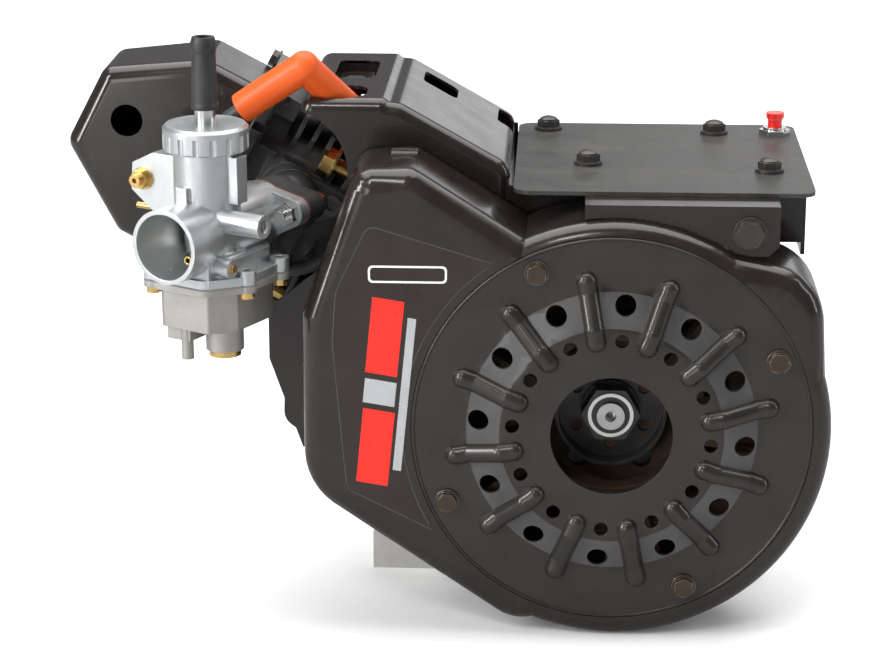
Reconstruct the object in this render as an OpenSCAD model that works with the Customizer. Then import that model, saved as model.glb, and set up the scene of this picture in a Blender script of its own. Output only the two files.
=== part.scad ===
// Small single-cylinder gasoline engine with a canted overhead-valve cylinder, a flywheel
// fan under a sheet-metal blower housing and a slide-type carburettor.
// +Z is up and +Y runs along the crankshaft out of the drive end. The origin is on the
// crank axis, in the plane of the drive-end mounting face. Lengths are in millimetres.

/* [Crankshaft and cylinder] */
// Cylinder bore diameter
bore_d = 68; // [60:1:70]
// Piston stroke
stroke = 56; // [46:1:60]
// Connecting rod length between pin centres
rod_len = 78; // [76:1:90]
// Piston height above its pin
crown_h = 30; // [26:1:36]
// Cylinder angle above the horizontal
cyl_angle = 28; // [24:1:32]
// Distance from the drive-end face back to the cylinder axis
cyl_y = 70; // [68:1:76]
// Distance from the drive-end face back to the case front wall
case_len = 118; // [116:1:130]
// Main journal diameter
journal_d = 25; // [22:1:28]

/* [Output and base] */
// Height of the crank axis above the feet
shaft_h = 106; // [104:1:112]
// Output shaft diameter
shaft_d = 19.05; // [15:0.05:25.4]
// Output shaft length beyond the mounting face
shaft_len = 62; // [40:1:80]
// Bolt circle of the drive-end face
face_pcd = 92.075; // [88:0.025:96]
// Tapped hole diameter in the drive-end face
face_hole_d = 6.9; // [5:0.1:8]
// Base bolt spacing across the engine
base_x = 162; // [150:1:170]
// Base bolt spacing along the crankshaft
base_y = 76; // [66:1:80]
// Base bolt hole diameter
base_hole_d = 9; // [7:0.5:11]

/* [Blower] */
// Outer radius of the round part of the housing
blower_r = 103.5; // [102:0.5:112]
// Depth of the blower housing
blower_depth = 50; // [46:1:60]
// Distance from the drive-end face to the front of the blower
front_y = 185; // [183:1:200]
// Sheet thickness of the housing and shrouds
sheet = 2; // [1.5:0.1:2.5]
// Radius of the fan cover
cover_r = 95; // [92:0.5:98]
// Screw circle radius of the fan cover
cover_screw_r = 85.8; // [84:0.1:88]
// Radius of the finger hole in the fan cover
cover_hole_r = 28.9; // [24:0.1:34]
// Number of pressed ribs in the fan cover
rib_n = 12; // [8:1:14]

/* [Top plate] */
// Width of the plate across the engine
plate_w = 143; // [130:1:150]
// Length of the plate along the crankshaft
plate_l = 147; // [136:1:152]
// Height of the plate above the crank axis
plate_z = 110; // [108:1:118]

/* [Carburettor] */
// Carburettor throttle bore
carb_bore = 22; // [18:0.5:24]
// Outer radius of the air inlet spigot
spigot_r = 17.6; // [17:0.1:21.5]
// Turn of the carburettor away from the crank direction
carb_turn = 28; // [20:1:32]

/* [Hidden] */
$fn = 64;
// Overlap that makes a cut run clean through a face
eps = 0.5;
// Running clearance on a radius, and the gap between pieces that only stand near
run = 0.04;
gap = 0.3;

// Crank train
throw = stroke / 2;
bore_r = bore_d / 2;
journal_r = journal_d / 2;
deck_s = throw + rod_len + crown_h;
gasket_t = 1;
sleeve_r = bore_r + 2.5;
barrel_r = sleeve_r + 5;
sleeve_bottom = 52;
web_r = 38;
web_t = 14;
rod_w = 19.4;
web_in = rod_w / 2 + gap;
crank_pin_r = 9;
wrist_r = 7.5;
piston_r = bore_r - 0.05;
skirt_h = 9;
piston_z = throw + rod_len;
// Main bearings and seals, measured back from the drive-end face
bearing_t = 15;
bearing_r = journal_r + 13.5;
seal_t = 6;
seal_r = journal_r + 8;
out_bearing_y = 10;
mag_bearing_y = case_len - 20;
cover_t = 22;
wall = 6;
// Cam: offset from the cylinder axis and height above the crank axis, gear train 1 to 2
gear_m = 2;
crank_teeth = 20;
cam_teeth = 40;
cam_dist = gear_m * (crank_teeth + cam_teeth) / 2;
cam_b = 48;
cam_s = sqrt(cam_dist * cam_dist - cam_b * cam_b);
gear_t = 6.6;
gear_y = 26.5;
cam_r = 7;
lobe_r = 10;
lift = 5;
lobe_t = 9;
valve_y = 16;
cam_end_r = 6.5;
// Head and valve gear, measured along the cylinder from the crank axis
head_s = deck_s + gasket_t;
head_top = 217;
chamber_h = 9;
seat_s = head_s + chamber_h;
valve_b = 9;
stem_r = 2.75;
intake_r = 13.5;
exhaust_r = 12;
port_r = 11;
spring_seat_s = 212;
spring_top_s = 238;
retainer_t = 3;
stem_top = spring_top_s + 7;
push_tilt = 3;
rocker_b = -14;
rocker_s = stem_top + 1;
tappet_foot = lobe_r + lift + gap;
head_b = 51;
head_half_y = 36;
port_y = 40;
// Height of both ports, tilt of their flange line, and the flange's ear radius
port_s = 184;
flange_lean = 7;
ear_r = 7;
// Rocker shaft posts, and the top of the pushrods
post_y = [[-28, -23], [-7, 7], [23, 28]];
push_len = 165;
push_top = tappet_foot + 24 + push_len;
push_top_b = -cam_b + push_top * sin(push_tilt);
push_top_s = cam_s + push_top * cos(push_tilt);
// Rocker cover
box_base = 218;
box_top = 295;
// Front shrouds
blower_y = -front_y;
back_y = blower_y + blower_depth;
plate_t = 2;
cam_x = -cam_b * sin(cyl_angle) - cam_s * cos(cyl_angle);
cam_z = -cam_b * cos(cyl_angle) + cam_s * sin(cyl_angle);
back_plate_spots = [[-86, -54], [40, -72], [47, 32], [-92, -6]];
// Carburettor: bore height, and the reach of its inlet and its flange from the slide
plug_turn = -38;
plug_lean = 55;
carb_x = -190;
carb_y = -181;
carb_z = 95;
inlet_len = 35;
flange_len = 44;
carb_flange_t = 7;
stud_gap = 42;
exhaust_gap = 45;
stud_lean = 8;
body_r = 15.5;
body_top = 46;
joint_z = -21;
slide_r = body_r - 4;

// ---------------------------------------------------------------- frames and helpers

// Local +Z runs up the cylinder and local +X is the upper side of it
module cyl_frame() {
  translate([0, -cyl_y, 0]) rotate([0, cyl_angle - 90, 0]) children();
}

// Local +Z runs up a pushrod from the cam centre
module push_frame(side) {
  cyl_frame() translate([-cam_b, side * valve_y, cam_s]) rotate([0, push_tilt, 0]) children();
}

// Local +Y runs along the carburettor bore to the engine, local +Z up the slide
module carb_frame() {
  translate([carb_x, carb_y, carb_z]) rotate([0, 0, -carb_turn]) children();
}

// Cylinder along +Y from y to y + len
module rod_y(r, y, len) {
  translate([0, y, 0]) rotate([-90, 0, 0]) cylinder(r = r, h = len);
}

// Ring along +Y
module ring_y(r_out, r_in, y, len) {
  difference() {
    rod_y(r_out, y, len);
    rod_y(r_in, y - eps, len + 2 * eps);
  }
}

// Box between two corners
module box(low, high) {
  translate(low) cube(high - low);
}

// Hexagonal flange bolt along -Z: head above z = 0, shank below
module flange_bolt(d, len, across, head_h = 5) {
  cylinder(r = across * 0.68, h = 1.4);
  cylinder(r = across / sqrt(3), h = head_h, $fn = 6);
  translate([0, 0, -len]) cylinder(r = d / 2, h = len + 0.1);
}

// Extruded outline that lies in the XZ plane, from y to y + len
module plate_y(points, y, len) {
  translate([0, y + len, 0]) rotate([90, 0, 0]) linear_extrude(len) polygon(points);
}

// Points of a convex outline with rounded corners given as [x, y, r], anticlockwise
function corner_points(c, n = 8) = [
  for (i = [0 : len(c) - 1])
    let (a = c[(i + len(c) - 1) % len(c)], b = c[i], d = c[(i + 1) % len(c)],
         u = unit([b[0] - a[0], b[1] - a[1]]), v = unit([d[0] - b[0], d[1] - b[1]]),
         t0 = atan2(-u[0], u[1]), turn = turn_angle(u, v),
         k = b[2] * tan(turn / 2), start = [b[0] - u[0] * k, b[1] - u[1] * k],
         centre = [start[0] - u[1] * b[2], start[1] + u[0] * b[2]])
      for (j = [0 : n]) let (t = t0 + turn * j / n)
        [centre[0] + b[2] * cos(t), centre[1] + b[2] * sin(t)]
];
function unit(v) = v / norm(v);
function turn_angle(u, v) = atan2(u[0] * v[1] - u[1] * v[0], u * v);

// Wall of a convex outline: the same corners moved in by t
function inset(c, t) = [
  for (i = [0 : len(c) - 1])
    let (a = c[(i + len(c) - 1) % len(c)], b = c[i], d = c[(i + 1) % len(c)],
         u = unit([b[0] - a[0], b[1] - a[1]]), v = unit([d[0] - b[0], d[1] - b[1]]),
         k = t / (1 + u * v))
      [b[0] - k * (u[1] + v[1]), b[1] + k * (u[0] + v[0]), max(b[2] - t, 1)]
];

// ---------------------------------------------------------------- crankcase

// Local +Z leaves the case through the oil filler
module filler_frame() {
  translate([fill_x - 8, -54, 4]) rotate([0, 60, 0]) children();
}

// Outline of the case walls, anticlockwise, each corner with its radius
case_corners = [
  [-89, -95, 8], [53, -95, 8], [60, -40, 12], [62, 30, 14], [38, 62, 14],
  [-22, 64, 10], [-66, 41, 10], [-109, -5, 10], [-109, -34, 10]
];
cover_bolt_spots = [
  [-88, -87.5], [-17, -90], [52, -87.5], [64, -6], [38, 59], [-22, 61], [-67, 38], [-108, -20]
];
base_mid_x = -20;
base_mid_y = -53;
foot_top = -shaft_h + 11;
coil_spots = [[-52, 80.5], [-80.5, 52]];
coil_y = -157;
blower_spots = [[-124, 96], [-136, -14], [-66, -76], [56, -80], [86, 46]];
fin_pitch = 8;
drain_x = -60;
fill_x = 62;

module case_outline(t, y, len) {
  plate_y(corner_points(inset(case_corners, t)), y, len);
}

module foot_rail(x_low, x_high) {
  box([x_low, -101, -shaft_h], [x_high, base_mid_y + base_y / 2 + 10, foot_top]);
}

module base_holes() {
  for (sx = [-1, 1], sy = [-1, 1])
    translate([base_mid_x + sx * base_x / 2, base_mid_y + sy * base_y / 2, -shaft_h - eps])
      cylinder(r = base_hole_d / 2, h = 40);
}

module fin_plate(s, half_b, half_y, t) {
  translate([0, 0, s]) linear_extrude(t)
    polygon(corner_points([[-half_b, -half_y, 9], [half_b, -half_y, 9],
                           [half_b, half_y, 9], [-half_b, half_y, 9]]));
}

module barrel() {
  cyl_frame() {
    translate([0, 0, 44]) cylinder(r = barrel_r, h = deck_s - 44);
    for (s = [72 : fin_pitch : deck_s - 14]) fin_plate(s, head_b - 1, head_half_y + 10, 2.5);
    fin_plate(deck_s - 8, head_b - 1, head_half_y + 7, 8);
    translate([-head_b - 3, -valve_y - 9, 70]) cube([20, 2 * valve_y + 18, deck_s - 70]);
  }
}

// Guide block for the two tappets, inside the case
module tappet_block() {
  cyl_frame() box([-cam_b - 8, -valve_y - 9, 66], [-cam_b + 12, valve_y + 9, 84]);
}

module crankcase() {
  color("silver") difference() {
    union() {
      difference() {
        union() {
          case_outline(0, -case_len, case_len - cover_t);
          for (p = cover_bolt_spots) translate([p[0], 0, p[1]]) rod_y(7, -cover_t - 30, 30);
          barrel();
          foot_rail(base_mid_x - base_x / 2 - 19, -80);
          foot_rail(44, base_mid_x + base_x / 2 + 19);
          for (y = [-101, -30]) plate_y([[-120, -shaft_h + 4], [-84, -shaft_h + 4], [-84, -50],
                                         [-112, -78], [-120, -86]], y, 7);
          for (y = [-101, -30]) plate_y([[50, -shaft_h + 4], [80, -shaft_h + 4], [80, -92],
                                         [62, -70], [54, -60]], y, 7);
        }
        case_outline(wall, -case_len + wall, case_len);
        cyl_frame() translate([0, 0, 20]) cylinder(r = sleeve_r, h = deck_s);
      }
      rod_y(bearing_r + 6, -case_len, 21);
      translate([cam_x, 0, cam_z]) rod_y(11, -case_len, 16);
      tappet_block();
      for (p = coil_spots) translate([p[0], 0, p[1]]) rod_y(5, coil_y + 6, -coil_y - 6 - cyl_y - 28);
      for (p = back_plate_spots) translate([p[0], 0, p[1]]) rod_y(6, back_y + plate_t, -case_len - back_y);
      filler_frame() cylinder(r = 13, h = 14);
    }
    cyl_frame() cylinder(r = sleeve_r, h = deck_s + eps);
    rod_y(bearing_r, -mag_bearing_y - bearing_t, 40);
    rod_y(seal_r, -case_len - eps, 6);
    translate([cam_x, 0, cam_z]) rod_y(cam_end_r + run, -case_len + 3, 30);
    for (side = [-1, 1]) push_frame(side) {
      translate([0, 0, tappet_foot - 4]) cylinder(r = 10, h = 14.5);
      translate([0, 0, 20]) cylinder(r = 5.5 + run, h = 34);
      translate([0, 0, 50]) cylinder(r = 4.5, h = 80);
    }
    cyl_frame() for (p = head_bolt_spots)
      translate([p[0], p[1], deck_s - 26]) cylinder(r = 4.05, h = 30);
    for (p = cover_bolt_spots) translate([p[0], 0, p[1]]) rod_y(3.05, -cover_t - 11, 20);
    for (p = coil_spots) translate([p[0], 0, p[1]]) rod_y(2.55, coil_y, 24);
    for (p = back_plate_spots) translate([p[0], 0, p[1]]) rod_y(3.05, back_y - 1, 16);
    base_holes();
    translate([drain_x, -60, -110]) cylinder(r = 6.05, h = 30);
    filler_frame() {
      translate([0, 0, -7]) cylinder(r = 9.05, h = 40);
      translate([0, 0, 14]) cylinder(r = 13.4, h = 12);
    }
  }
}

module cylinder_sleeve() {
  color("dimgray") cyl_frame() difference() {
    translate([0, 0, sleeve_bottom]) cylinder(r = sleeve_r - run, h = deck_s - sleeve_bottom);
    translate([0, 0, sleeve_bottom - eps]) cylinder(r = bore_r, h = deck_s);
  }
}

// Drive-end cover with the machined mounting face
module crankcase_cover() {
  boss_r = face_pcd / 2 + 10;
  color("silver") difference() {
    union() {
      case_outline(0, -cover_t, 10);
      for (p = cover_bolt_spots) translate([p[0], 0, p[1]]) rod_y(7, -cover_t, 10);
      rod_y(boss_r, -cover_t, cover_t);
      rod_y(bearing_r + 5, -cover_t - 4, 8);
      translate([cam_x, 0, cam_z]) rod_y(14, -cover_t, 14);
      for (a = [20 : 60 : 320]) rotate([0, a, 0]) box([0, -cover_t + 5, -2.5], [62, -3, 2.5]);
    }
    rod_y(bearing_r, -out_bearing_y - bearing_t, bearing_t);
    rod_y(seal_r, -out_bearing_y + 1, seal_t);
    rod_y(journal_r + 0.6, -cover_t - 5, cover_t + 5 + eps);
    for (a = [45 : 90 : 315]) rotate([0, a, 0]) translate([face_pcd / 2, 0, 0])
      rod_y(face_hole_d / 2, -16, 16 + eps);
    for (p = cover_bolt_spots) translate([p[0], 0, p[1]]) rod_y(3.2, -cover_t - eps, 30);
    translate([cam_x, 0, cam_z]) rod_y(cam_end_r + run, -cover_t - eps, 15);
  }
}

// Plain flange bolts of the drive-end cover and of the cylinder head
module case_and_head_bolts() {
  color("gray") for (p = cover_bolt_spots)
    translate([p[0], -cover_t + 10, p[1]]) rotate([-90, 0, 0]) flange_bolt(6, 20, 10);
  color("gray") cyl_frame() for (p = head_bolt_spots) translate([p[0], p[1], p[2]])
    flange_bolt(8, p[2] - deck_s + 22, 13, 7);
}

// Two ball bearings and two lip seals, each closed up into one ring
module bearings_and_seals() {
  color("lightgray") {
    ring_y(bearing_r, journal_r + run, -out_bearing_y - bearing_t, bearing_t);
    ring_y(bearing_r, journal_r + run, -mag_bearing_y - bearing_t, bearing_t);
    ring_y(seal_r, journal_r + run, -out_bearing_y + 1, seal_t);
    ring_y(seal_r, journal_r + run, -case_len + 0.5, 4.5);
  }
}

// Oil filler cap on the right side and drain screw under the case
module oil_plugs() {
  color("black") filler_frame() {
    translate([0, 0, 14.1]) difference() {
      cylinder(r = 12, h = 8);
      for (a = [0 : 30 : 330]) rotate(a) translate([12.8, 0, 2]) cylinder(r = 1.6, h = 7);
    }
    cylinder(r = 9, h = 14.2);
  }
  color("gray") translate([drain_x, -60, -95]) {
    translate([0, 0, -4]) cylinder(r = 9.5 / sqrt(3) * 1.2, h = 4, $fn = 6);
    cylinder(r = 6, h = 8);
  }
}

// ---------------------------------------------------------------- head and valve gear

// Place and seat height of each head bolt: the upper front one stands aside for the spark plug
head_bolt_spots = [[-40, -33, 196.2], [-40, 33, 196.2], [40, 33, 196.2], [32, -36, head_s + 35.2]];
box_bolt_spots = [[-55, -34.5], [-55, 34.5], [49, 34.5], [49, -34.5]];
box_flange = [[-59.5, -39.5, 9], [54, -39.5, 9], [54, 39.5, 9], [-59.5, 39.5, 9]];

module head_holes(r) {
  for (p = head_bolt_spots) translate([p[0], p[1], 0]) cylinder(r = r, h = 300);
}

// Local +Z leaves the chamber along the spark plug
module plug_frame() {
  cyl_frame() translate([23, -11, seat_s - 1]) rotate([0, 0, plug_turn]) rotate([0, plug_lean, 0])
    children();
}
module head_gasket() {
  color("dimgray") cyl_frame() difference() {
    translate([0, 0, deck_s]) linear_extrude(gasket_t)
      polygon(corner_points([[1 - head_b, -head_half_y - 7, 9], [head_b - 1, -head_half_y - 7, 9],
                             [head_b - 1, head_half_y + 7, 9], [1 - head_b, head_half_y + 7, 9]]));
    translate([0, 0, deck_s - eps]) cylinder(r = bore_r + 1, h = 3);
    head_holes(4.2);
    for (side = [-1, 1]) translate([-cam_b, side * valve_y, cam_s]) rotate([0, push_tilt, 0])
      cylinder(r = 4.8, h = 200);
  }
}

// World-aligned frame centred on a port's mouth line, in the cylinder's plane
module port_frame() {
  cyl_frame() translate([valve_b, 0, port_s]) rotate([0, 90 - cyl_angle, 0]) children();
}

// Outline frame of a port flange: +Z points away from the head on the given side
module port_face(side, y) {
  port_frame() translate([0, side * y, 0]) rotate([side * -90, 0, 0])
    rotate([0, 0, side * flange_lean]) children();
}

// The intake flange has its second ear low, clear of the carburettor's flange
function port_ears(side) = side < 0 ? [0, 235] : [0, 180];
function port_gap(side) = side < 0 ? stud_gap : exhaust_gap;

module port(side, r) {
  // Drop to the valve seat, and the run to the side face
  translate([valve_b, side * valve_y, seat_s + 4]) cylinder(r = port_r, h = port_s - seat_s - 4);
  translate([valve_b, side * valve_y, port_s]) sphere(r = port_r);
  translate([valve_b, side * valve_y, port_s]) rotate([-side * 90, 0, 0])
    cylinder(r = port_r, h = 40);
  translate([valve_b, side * valve_y, seat_s]) cylinder(r1 = r, r2 = port_r, h = 4);
}

module cylinder_head() {
  color("#2a2a2a") difference() {
    union() {
      // Fins, cleared round both port flanges and the spark plug
      difference() {
        cyl_frame() {
          for (s = [head_s + 17 : fin_pitch : 196]) fin_plate(s, head_b, head_half_y + 8, 2.2);
          fin_plate(head_s, head_b - 1, head_half_y + 7, 10);
        }
        for (side = [-1, 1]) port_face(side, port_y - 1) cylinder(r = 30.5, h = 20);
        cyl_frame() box([30, -50, 150], [60, -28, 172]);
      }
      cyl_frame() {
        translate([0, 0, head_s]) cylinder(r = 39.4, h = 66);
        translate([-53, -34, 200]) cube([104, 68, 12]);
        translate([-53, -34, head_s]) cube([24.5, 68, head_top - head_s]);
        translate([0, 0, 212]) linear_extrude(head_top - 212) polygon(corner_points(box_flange));
        for (y = post_y) box([rocker_b - 7, y[0], 212], [rocker_b + 7, y[1], rocker_s + 7.5]);
      }
      plug_frame() translate([0, 0, 10]) cylinder(r = 13, h = 14);
      for (side = [-1, 1]) port_face(side, port_y - 8) {
        translate([0, 0, 8 - port_y]) cylinder(r = 17, h = port_y);
        flange_block(8, port_ears(side), port_gap(side));
      }
    }
    cyl_frame() {
      translate([0, 0, head_s - eps]) linear_extrude(chamber_h + eps)
        polygon(corner_points([[-12, -30, 9], [26, -30, 12], [26, 30, 12], [-12, 30, 9]]));
      port(-1, intake_r);
      port(1, exhaust_r);
      for (side = [-1, 1]) {
        translate([valve_b, side * valve_y, seat_s]) cylinder(r = stem_r + 0.04, h = 80);
        translate([valve_b, side * valve_y, spring_seat_s]) cylinder(r = 12.5, h = 20);
        translate([-cam_b, side * valve_y, cam_s]) rotate([0, push_tilt, 0])
          translate([0, 0, 90]) cylinder(r = 4.5, h = 100);
      }
      head_holes(4.2);
      for (p = head_bolt_spots) translate([p[0], p[1], p[2]]) cylinder(r = 9, h = 210.2 - p[2]);
      for (p = box_bolt_spots) translate([p[0], p[1], 206]) cylinder(r = 2.55, h = 20);
    }
    for (side = [-1, 1]) port_face(side, port_y)
      ear_holes(3.05, -14, 14 + eps, port_ears(side), port_gap(side));
    rocker_axis() cylinder(r = 5 + run, h = 80, center = true);
    plug_frame() {
      translate([0, 0, -6]) cylinder(r = 7.02, h = 40);
      translate([0, 0, 15]) cylinder(r = 12.6, h = 60);
    }
  }
}

// Flange along +Z: a round middle and a bolt ear at each angle
module flange_block(len, ears = [0, 180], bolt_gap = stud_gap) {
  cylinder(r = 15, h = len);
  for (a = ears) rotate(a) {
    translate([bolt_gap / 2, 0, 0]) cylinder(r = ear_r, h = len);
    linear_extrude(len) polygon([[0, 15], [0, -15], [bolt_gap / 2 + 2.2, -ear_r + 0.45],
                                 [bolt_gap / 2 + 2.2, ear_r - 0.45]]);
  }
}

module ear_holes(r, from, len, ears = [0, 180], bolt_gap = stud_gap) {
  for (a = ears) rotate(a) translate([bolt_gap / 2, 0, from]) cylinder(r = r, h = len);
}

module rocker_axis() {
  cyl_frame() translate([rocker_b, 0, rocker_s]) rotate([90, 0, 0]) children();
}

module rocker_cover_gasket() {
  color("black") cyl_frame() difference() {
    translate([0, 0, head_top]) linear_extrude(box_base - head_top) polygon(corner_points(box_flange));
    translate([0, 0, head_top - eps]) linear_extrude(3)
      polygon(corner_points(inset(box_flange, 7)));
    for (p = box_bolt_spots) translate([p[0], p[1], 200]) cylinder(r = 2.8, h = 40);
  }
}

// Deep-drawn cover: a straight lower part and a tapered crown, shrunk by t
module box_form(t) {
  hull() {
    for (b = [-45, 39], y = [-24, 24]) {
      translate([b, y, box_base]) cylinder(r = 7.5 - t, h = 2, $fn = 32);
      translate([b, y, 250]) sphere(r = 7.5 - t, $fn = 32);
    }
    for (b = [-20, 14], y = [-21, 21]) translate([b, y, box_top - 8]) sphere(r = 8 - t, $fn = 32);
  }
}

module rocker_cover() {
  color("#161616") cyl_frame() difference() {
    union() {
      box_form(0);
      translate([0, 0, box_base]) linear_extrude(2.5) polygon(corner_points(box_flange));
    }
    difference() {
      box_form(sheet);
      translate([-60, -40, 0]) cube([120, 80, box_base - 1]);
    }
    translate([0, 0, box_base - 1]) linear_extrude(2) polygon(corner_points(inset(box_flange, 7)));
    for (p = box_bolt_spots) translate([p[0], p[1], 200]) cylinder(r = 2.8, h = 40);
    translate([1, -45, 273]) rotate([-90, 0, 0]) cylinder(r = 8, h = 25);
  }
}

module rocker_shaft() {
  color("silver") rocker_axis() cylinder(r = 5, h = 57, center = true);
}

module rocker(side) {
  color("gray") cyl_frame() difference() {
    translate([0, side * valve_y, 0]) rotate([90, 0, 0]) translate([0, 0, -4.5]) {
      translate([rocker_b, rocker_s, 0]) cylinder(r = 9, h = 9);
      translate([valve_b, stem_top + 4 + gap, 0]) cylinder(r = 4, h = 9);
      translate([push_top_b, push_top_s + 5 + gap, 0]) cylinder(r = 5, h = 9);
      linear_extrude(9) polygon([
        [push_top_b, push_top_s + 10], [push_top_b, push_top_s + 1], [rocker_b - 6, rocker_s - 6],
        [rocker_b + 6, rocker_s - 6], [valve_b, stem_top + 1], [valve_b, stem_top + 8],
        [rocker_b, rocker_s + 8.5]
      ]);
    }
    rocker_cut();
  }
}

module rocker_cut() {
  translate([rocker_b, 0, rocker_s]) rotate([90, 0, 0])
    cylinder(r = 5 + run, h = 80, center = true);
}

module intake_rocker() { rocker(-1); }
module exhaust_rocker() { rocker(1); }

// Tappet with its foot, and the pushrod that stands in it
module push_train(side) {
  push_frame(side) {
    color("dimgray") difference() {
      union() {
        translate([0, 0, tappet_foot]) cylinder(r = 9, h = 3);
        translate([0, 0, tappet_foot + 3]) cylinder(r = 5.5, h = 26);
      }
      translate([0, 0, tappet_foot + 24]) cylinder(r = 3.2, h = 10);
    }
    color("silver") {
      translate([0, 0, tappet_foot + 24]) cylinder(r = 3, h = push_len - 3);
      translate([0, 0, tappet_foot + 21 + push_len]) cylinder(r1 = 3, r2 = 1.2, h = 2.6);
    }
  }
}

module intake_pushrod() { push_train(-1); }
module exhaust_pushrod() { push_train(1); }

module valve(side, r) {
  color("silver") cyl_frame() translate([valve_b, side * valve_y, 0]) {
    translate([0, 0, seat_s - 2]) cylinder(r = r - 0.3, h = 1.6);
    translate([0, 0, seat_s - 0.4]) cylinder(r1 = r - 0.3, r2 = port_r - 2.2, h = 3.4);
    translate([0, 0, seat_s + 3]) cylinder(r1 = port_r - 2.2, r2 = stem_r, h = 9);
    translate([0, 0, seat_s]) cylinder(r = stem_r, h = stem_top - seat_s);
  }
  color("gray") cyl_frame() translate([valve_b, side * valve_y, spring_top_s]) difference() {
    union() {
      cylinder(r = 11, h = retainer_t);
      translate([0, 0, -2]) cylinder(r = 7, h = 3);
    }
    translate([0, 0, -3]) cylinder(r = stem_r + run, h = 10);
  }
}

module intake_valve() { valve(-1, intake_r); }
module exhaust_valve() { valve(1, exhaust_r); }

// Round-wire coil spring from z = 0 to z = h, swept along its own helix
module coil_spring(r, wire_r, h, turns) {
  steps = 16;
  sides = 8;
  n = turns * steps;
  pts = [for (i = [0 : n], j = [0 : sides - 1])
    let (a = 360 * i / steps, e = 360 * (j + 0.5) / sides, q = r + wire_r * cos(e),
         z = wire_r + (h - 2 * wire_r) * i / n + wire_r * sin(e))
      [q * cos(a), q * sin(a), z]];
  faces = concat(
    [[for (j = [0 : sides - 1]) j]],
    [for (i = [0 : n - 1], j = [0 : sides - 1])
      [i * sides + j, (i + 1) * sides + j, (i + 1) * sides + (j + 1) % sides,
       i * sides + (j + 1) % sides]],
    [[for (j = [sides - 1 : -1 : 0]) n * sides + j]]
  );
  polyhedron(points = pts, faces = faces, convexity = 10);
}

module valve_spring(side) {
  color("silver") cyl_frame() translate([valve_b, side * valve_y, spring_seat_s])
    coil_spring(9, 1.4, spring_top_s - spring_seat_s - lift - gap, 6);
}

module intake_valve_spring() { valve_spring(-1); }
module exhaust_valve_spring() { valve_spring(1); }

module spark_plug() {
  color("silver") plug_frame() {
    translate([0, 0, 6]) cylinder(r = 7, h = 9);
    translate([0, 0, 15]) cylinder(r = 9.4, h = 4);
    translate([0, 0, 19]) cylinder(r = 16 / sqrt(3), h = 10, $fn = 6);
    translate([0, 0, 29]) cylinder(r = 8, h = 3);
    translate([0, 0, 32]) cylinder(r1 = 6.2, r2 = 5.2, h = 4);
    translate([0, 0, 36]) cylinder(r = 5, h = 18);
    translate([0, 0, 54]) cylinder(r = 3, h = 8);
  }
}

// ---------------------------------------------------------------- crank train

// Crank web with its counterweight opposite the crank pin
module web(y) {
  cyl_up = cyl_angle - 90;
  rotate([0, cyl_up, 0]) difference() {
    rod_y(web_r, y, web_t);
    for (sx = [-1, 1]) box([sx * 30 - 16, y - eps, -4], [sx * 30 + 16, y + web_t + eps, 60]);
  }
}

module crankshaft() {
  color("silver") {
    // Drive-end half with the keyed output shaft
    difference() {
      union() {
        web(-cyl_y + web_in);
        rod_y(journal_r, -cyl_y + web_in + web_t - 1, cyl_y - web_in - web_t + 1);
        rod_y(shaft_d / 2, -1, shaft_len + 1);
      }
      box([-2.38, 8, shaft_d / 2 - 2.4], [2.38, shaft_len + 1, shaft_d]);
      rod_y(3.4, shaft_len - 25, 26);
    }
    // Flywheel-end half with the threaded snout
    web(-cyl_y - web_in - web_t);
    rod_y(journal_r, -case_len - 1, case_len + 1 - cyl_y - web_in - web_t + 1);
    difference() {
      union() {
        rod_y(11, hub_front, -case_len - hub_front);
        rod_y(6.8, nut_front - 2.5, hub_front - nut_front + 3);
      }
      rod_y(2.6, nut_front - 3, 8);
    }
  }
  // Timing gear pressed on the drive-end journal
  color("gray") gear(crank_teeth, journal_r + 0.01, 0);
}

// Spur gear about +Y with trapezoid teeth, turned by a
module gear(teeth, hole_r, a) {
  pitch_r = gear_m * teeth / 2;
  step = 360 / teeth;
  points = [for (i = [0 : teeth - 1], q = [[-0.35, -1.2], [-0.12, 0.9], [0.12, 0.9], [0.35, -1.2]])
    let (t = a + step * (i + q[0]), r = pitch_r + q[1] * gear_m)
      [r * cos(t), r * sin(t)]];
  difference() {
    plate_y(points, -gear_y - gear_t, gear_t);
    rod_y(hole_r, -gear_y - gear_t - eps, gear_t + 2 * eps);
  }
}

mesh_a = atan2(cam_z, cam_x);

module lobe(y, a) {
  rotate([0, a, 0]) {
    rod_y(lobe_r, y, lobe_t);
    translate([0, 0, lift + 3]) rod_y(lobe_r - 3, y, lobe_t);
    box([-lobe_r + 2.5, y, 0], [lobe_r - 2.5, y + lobe_t, lift + 3]);
  }
}

module camshaft() {
  color("dimgray") translate([cam_x, 0, cam_z]) {
    rod_y(cam_r, -case_len + 16 + gap, case_len - 16 - cover_t - 2 * gap);
    rod_y(cam_end_r, -case_len + 4, 13);
    rod_y(cam_end_r, -cover_t - 1, 14);
    lobe(-cyl_y - valve_y - lobe_t / 2, 70);
    lobe(-cyl_y + valve_y - lobe_t / 2, 170);
  }
  color("gray") translate([cam_x, 0, cam_z]) gear(cam_teeth, cam_r + 0.01, cam_gear_turn);
}

// The cam gear shows a gap where the crank gear shows a tooth
crank_phase = mesh_a / (360 / crank_teeth);
cam_gear_turn = mesh_a + 180 + (360 / cam_teeth) * (0.5 + crank_phase - floor(crank_phase));

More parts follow.
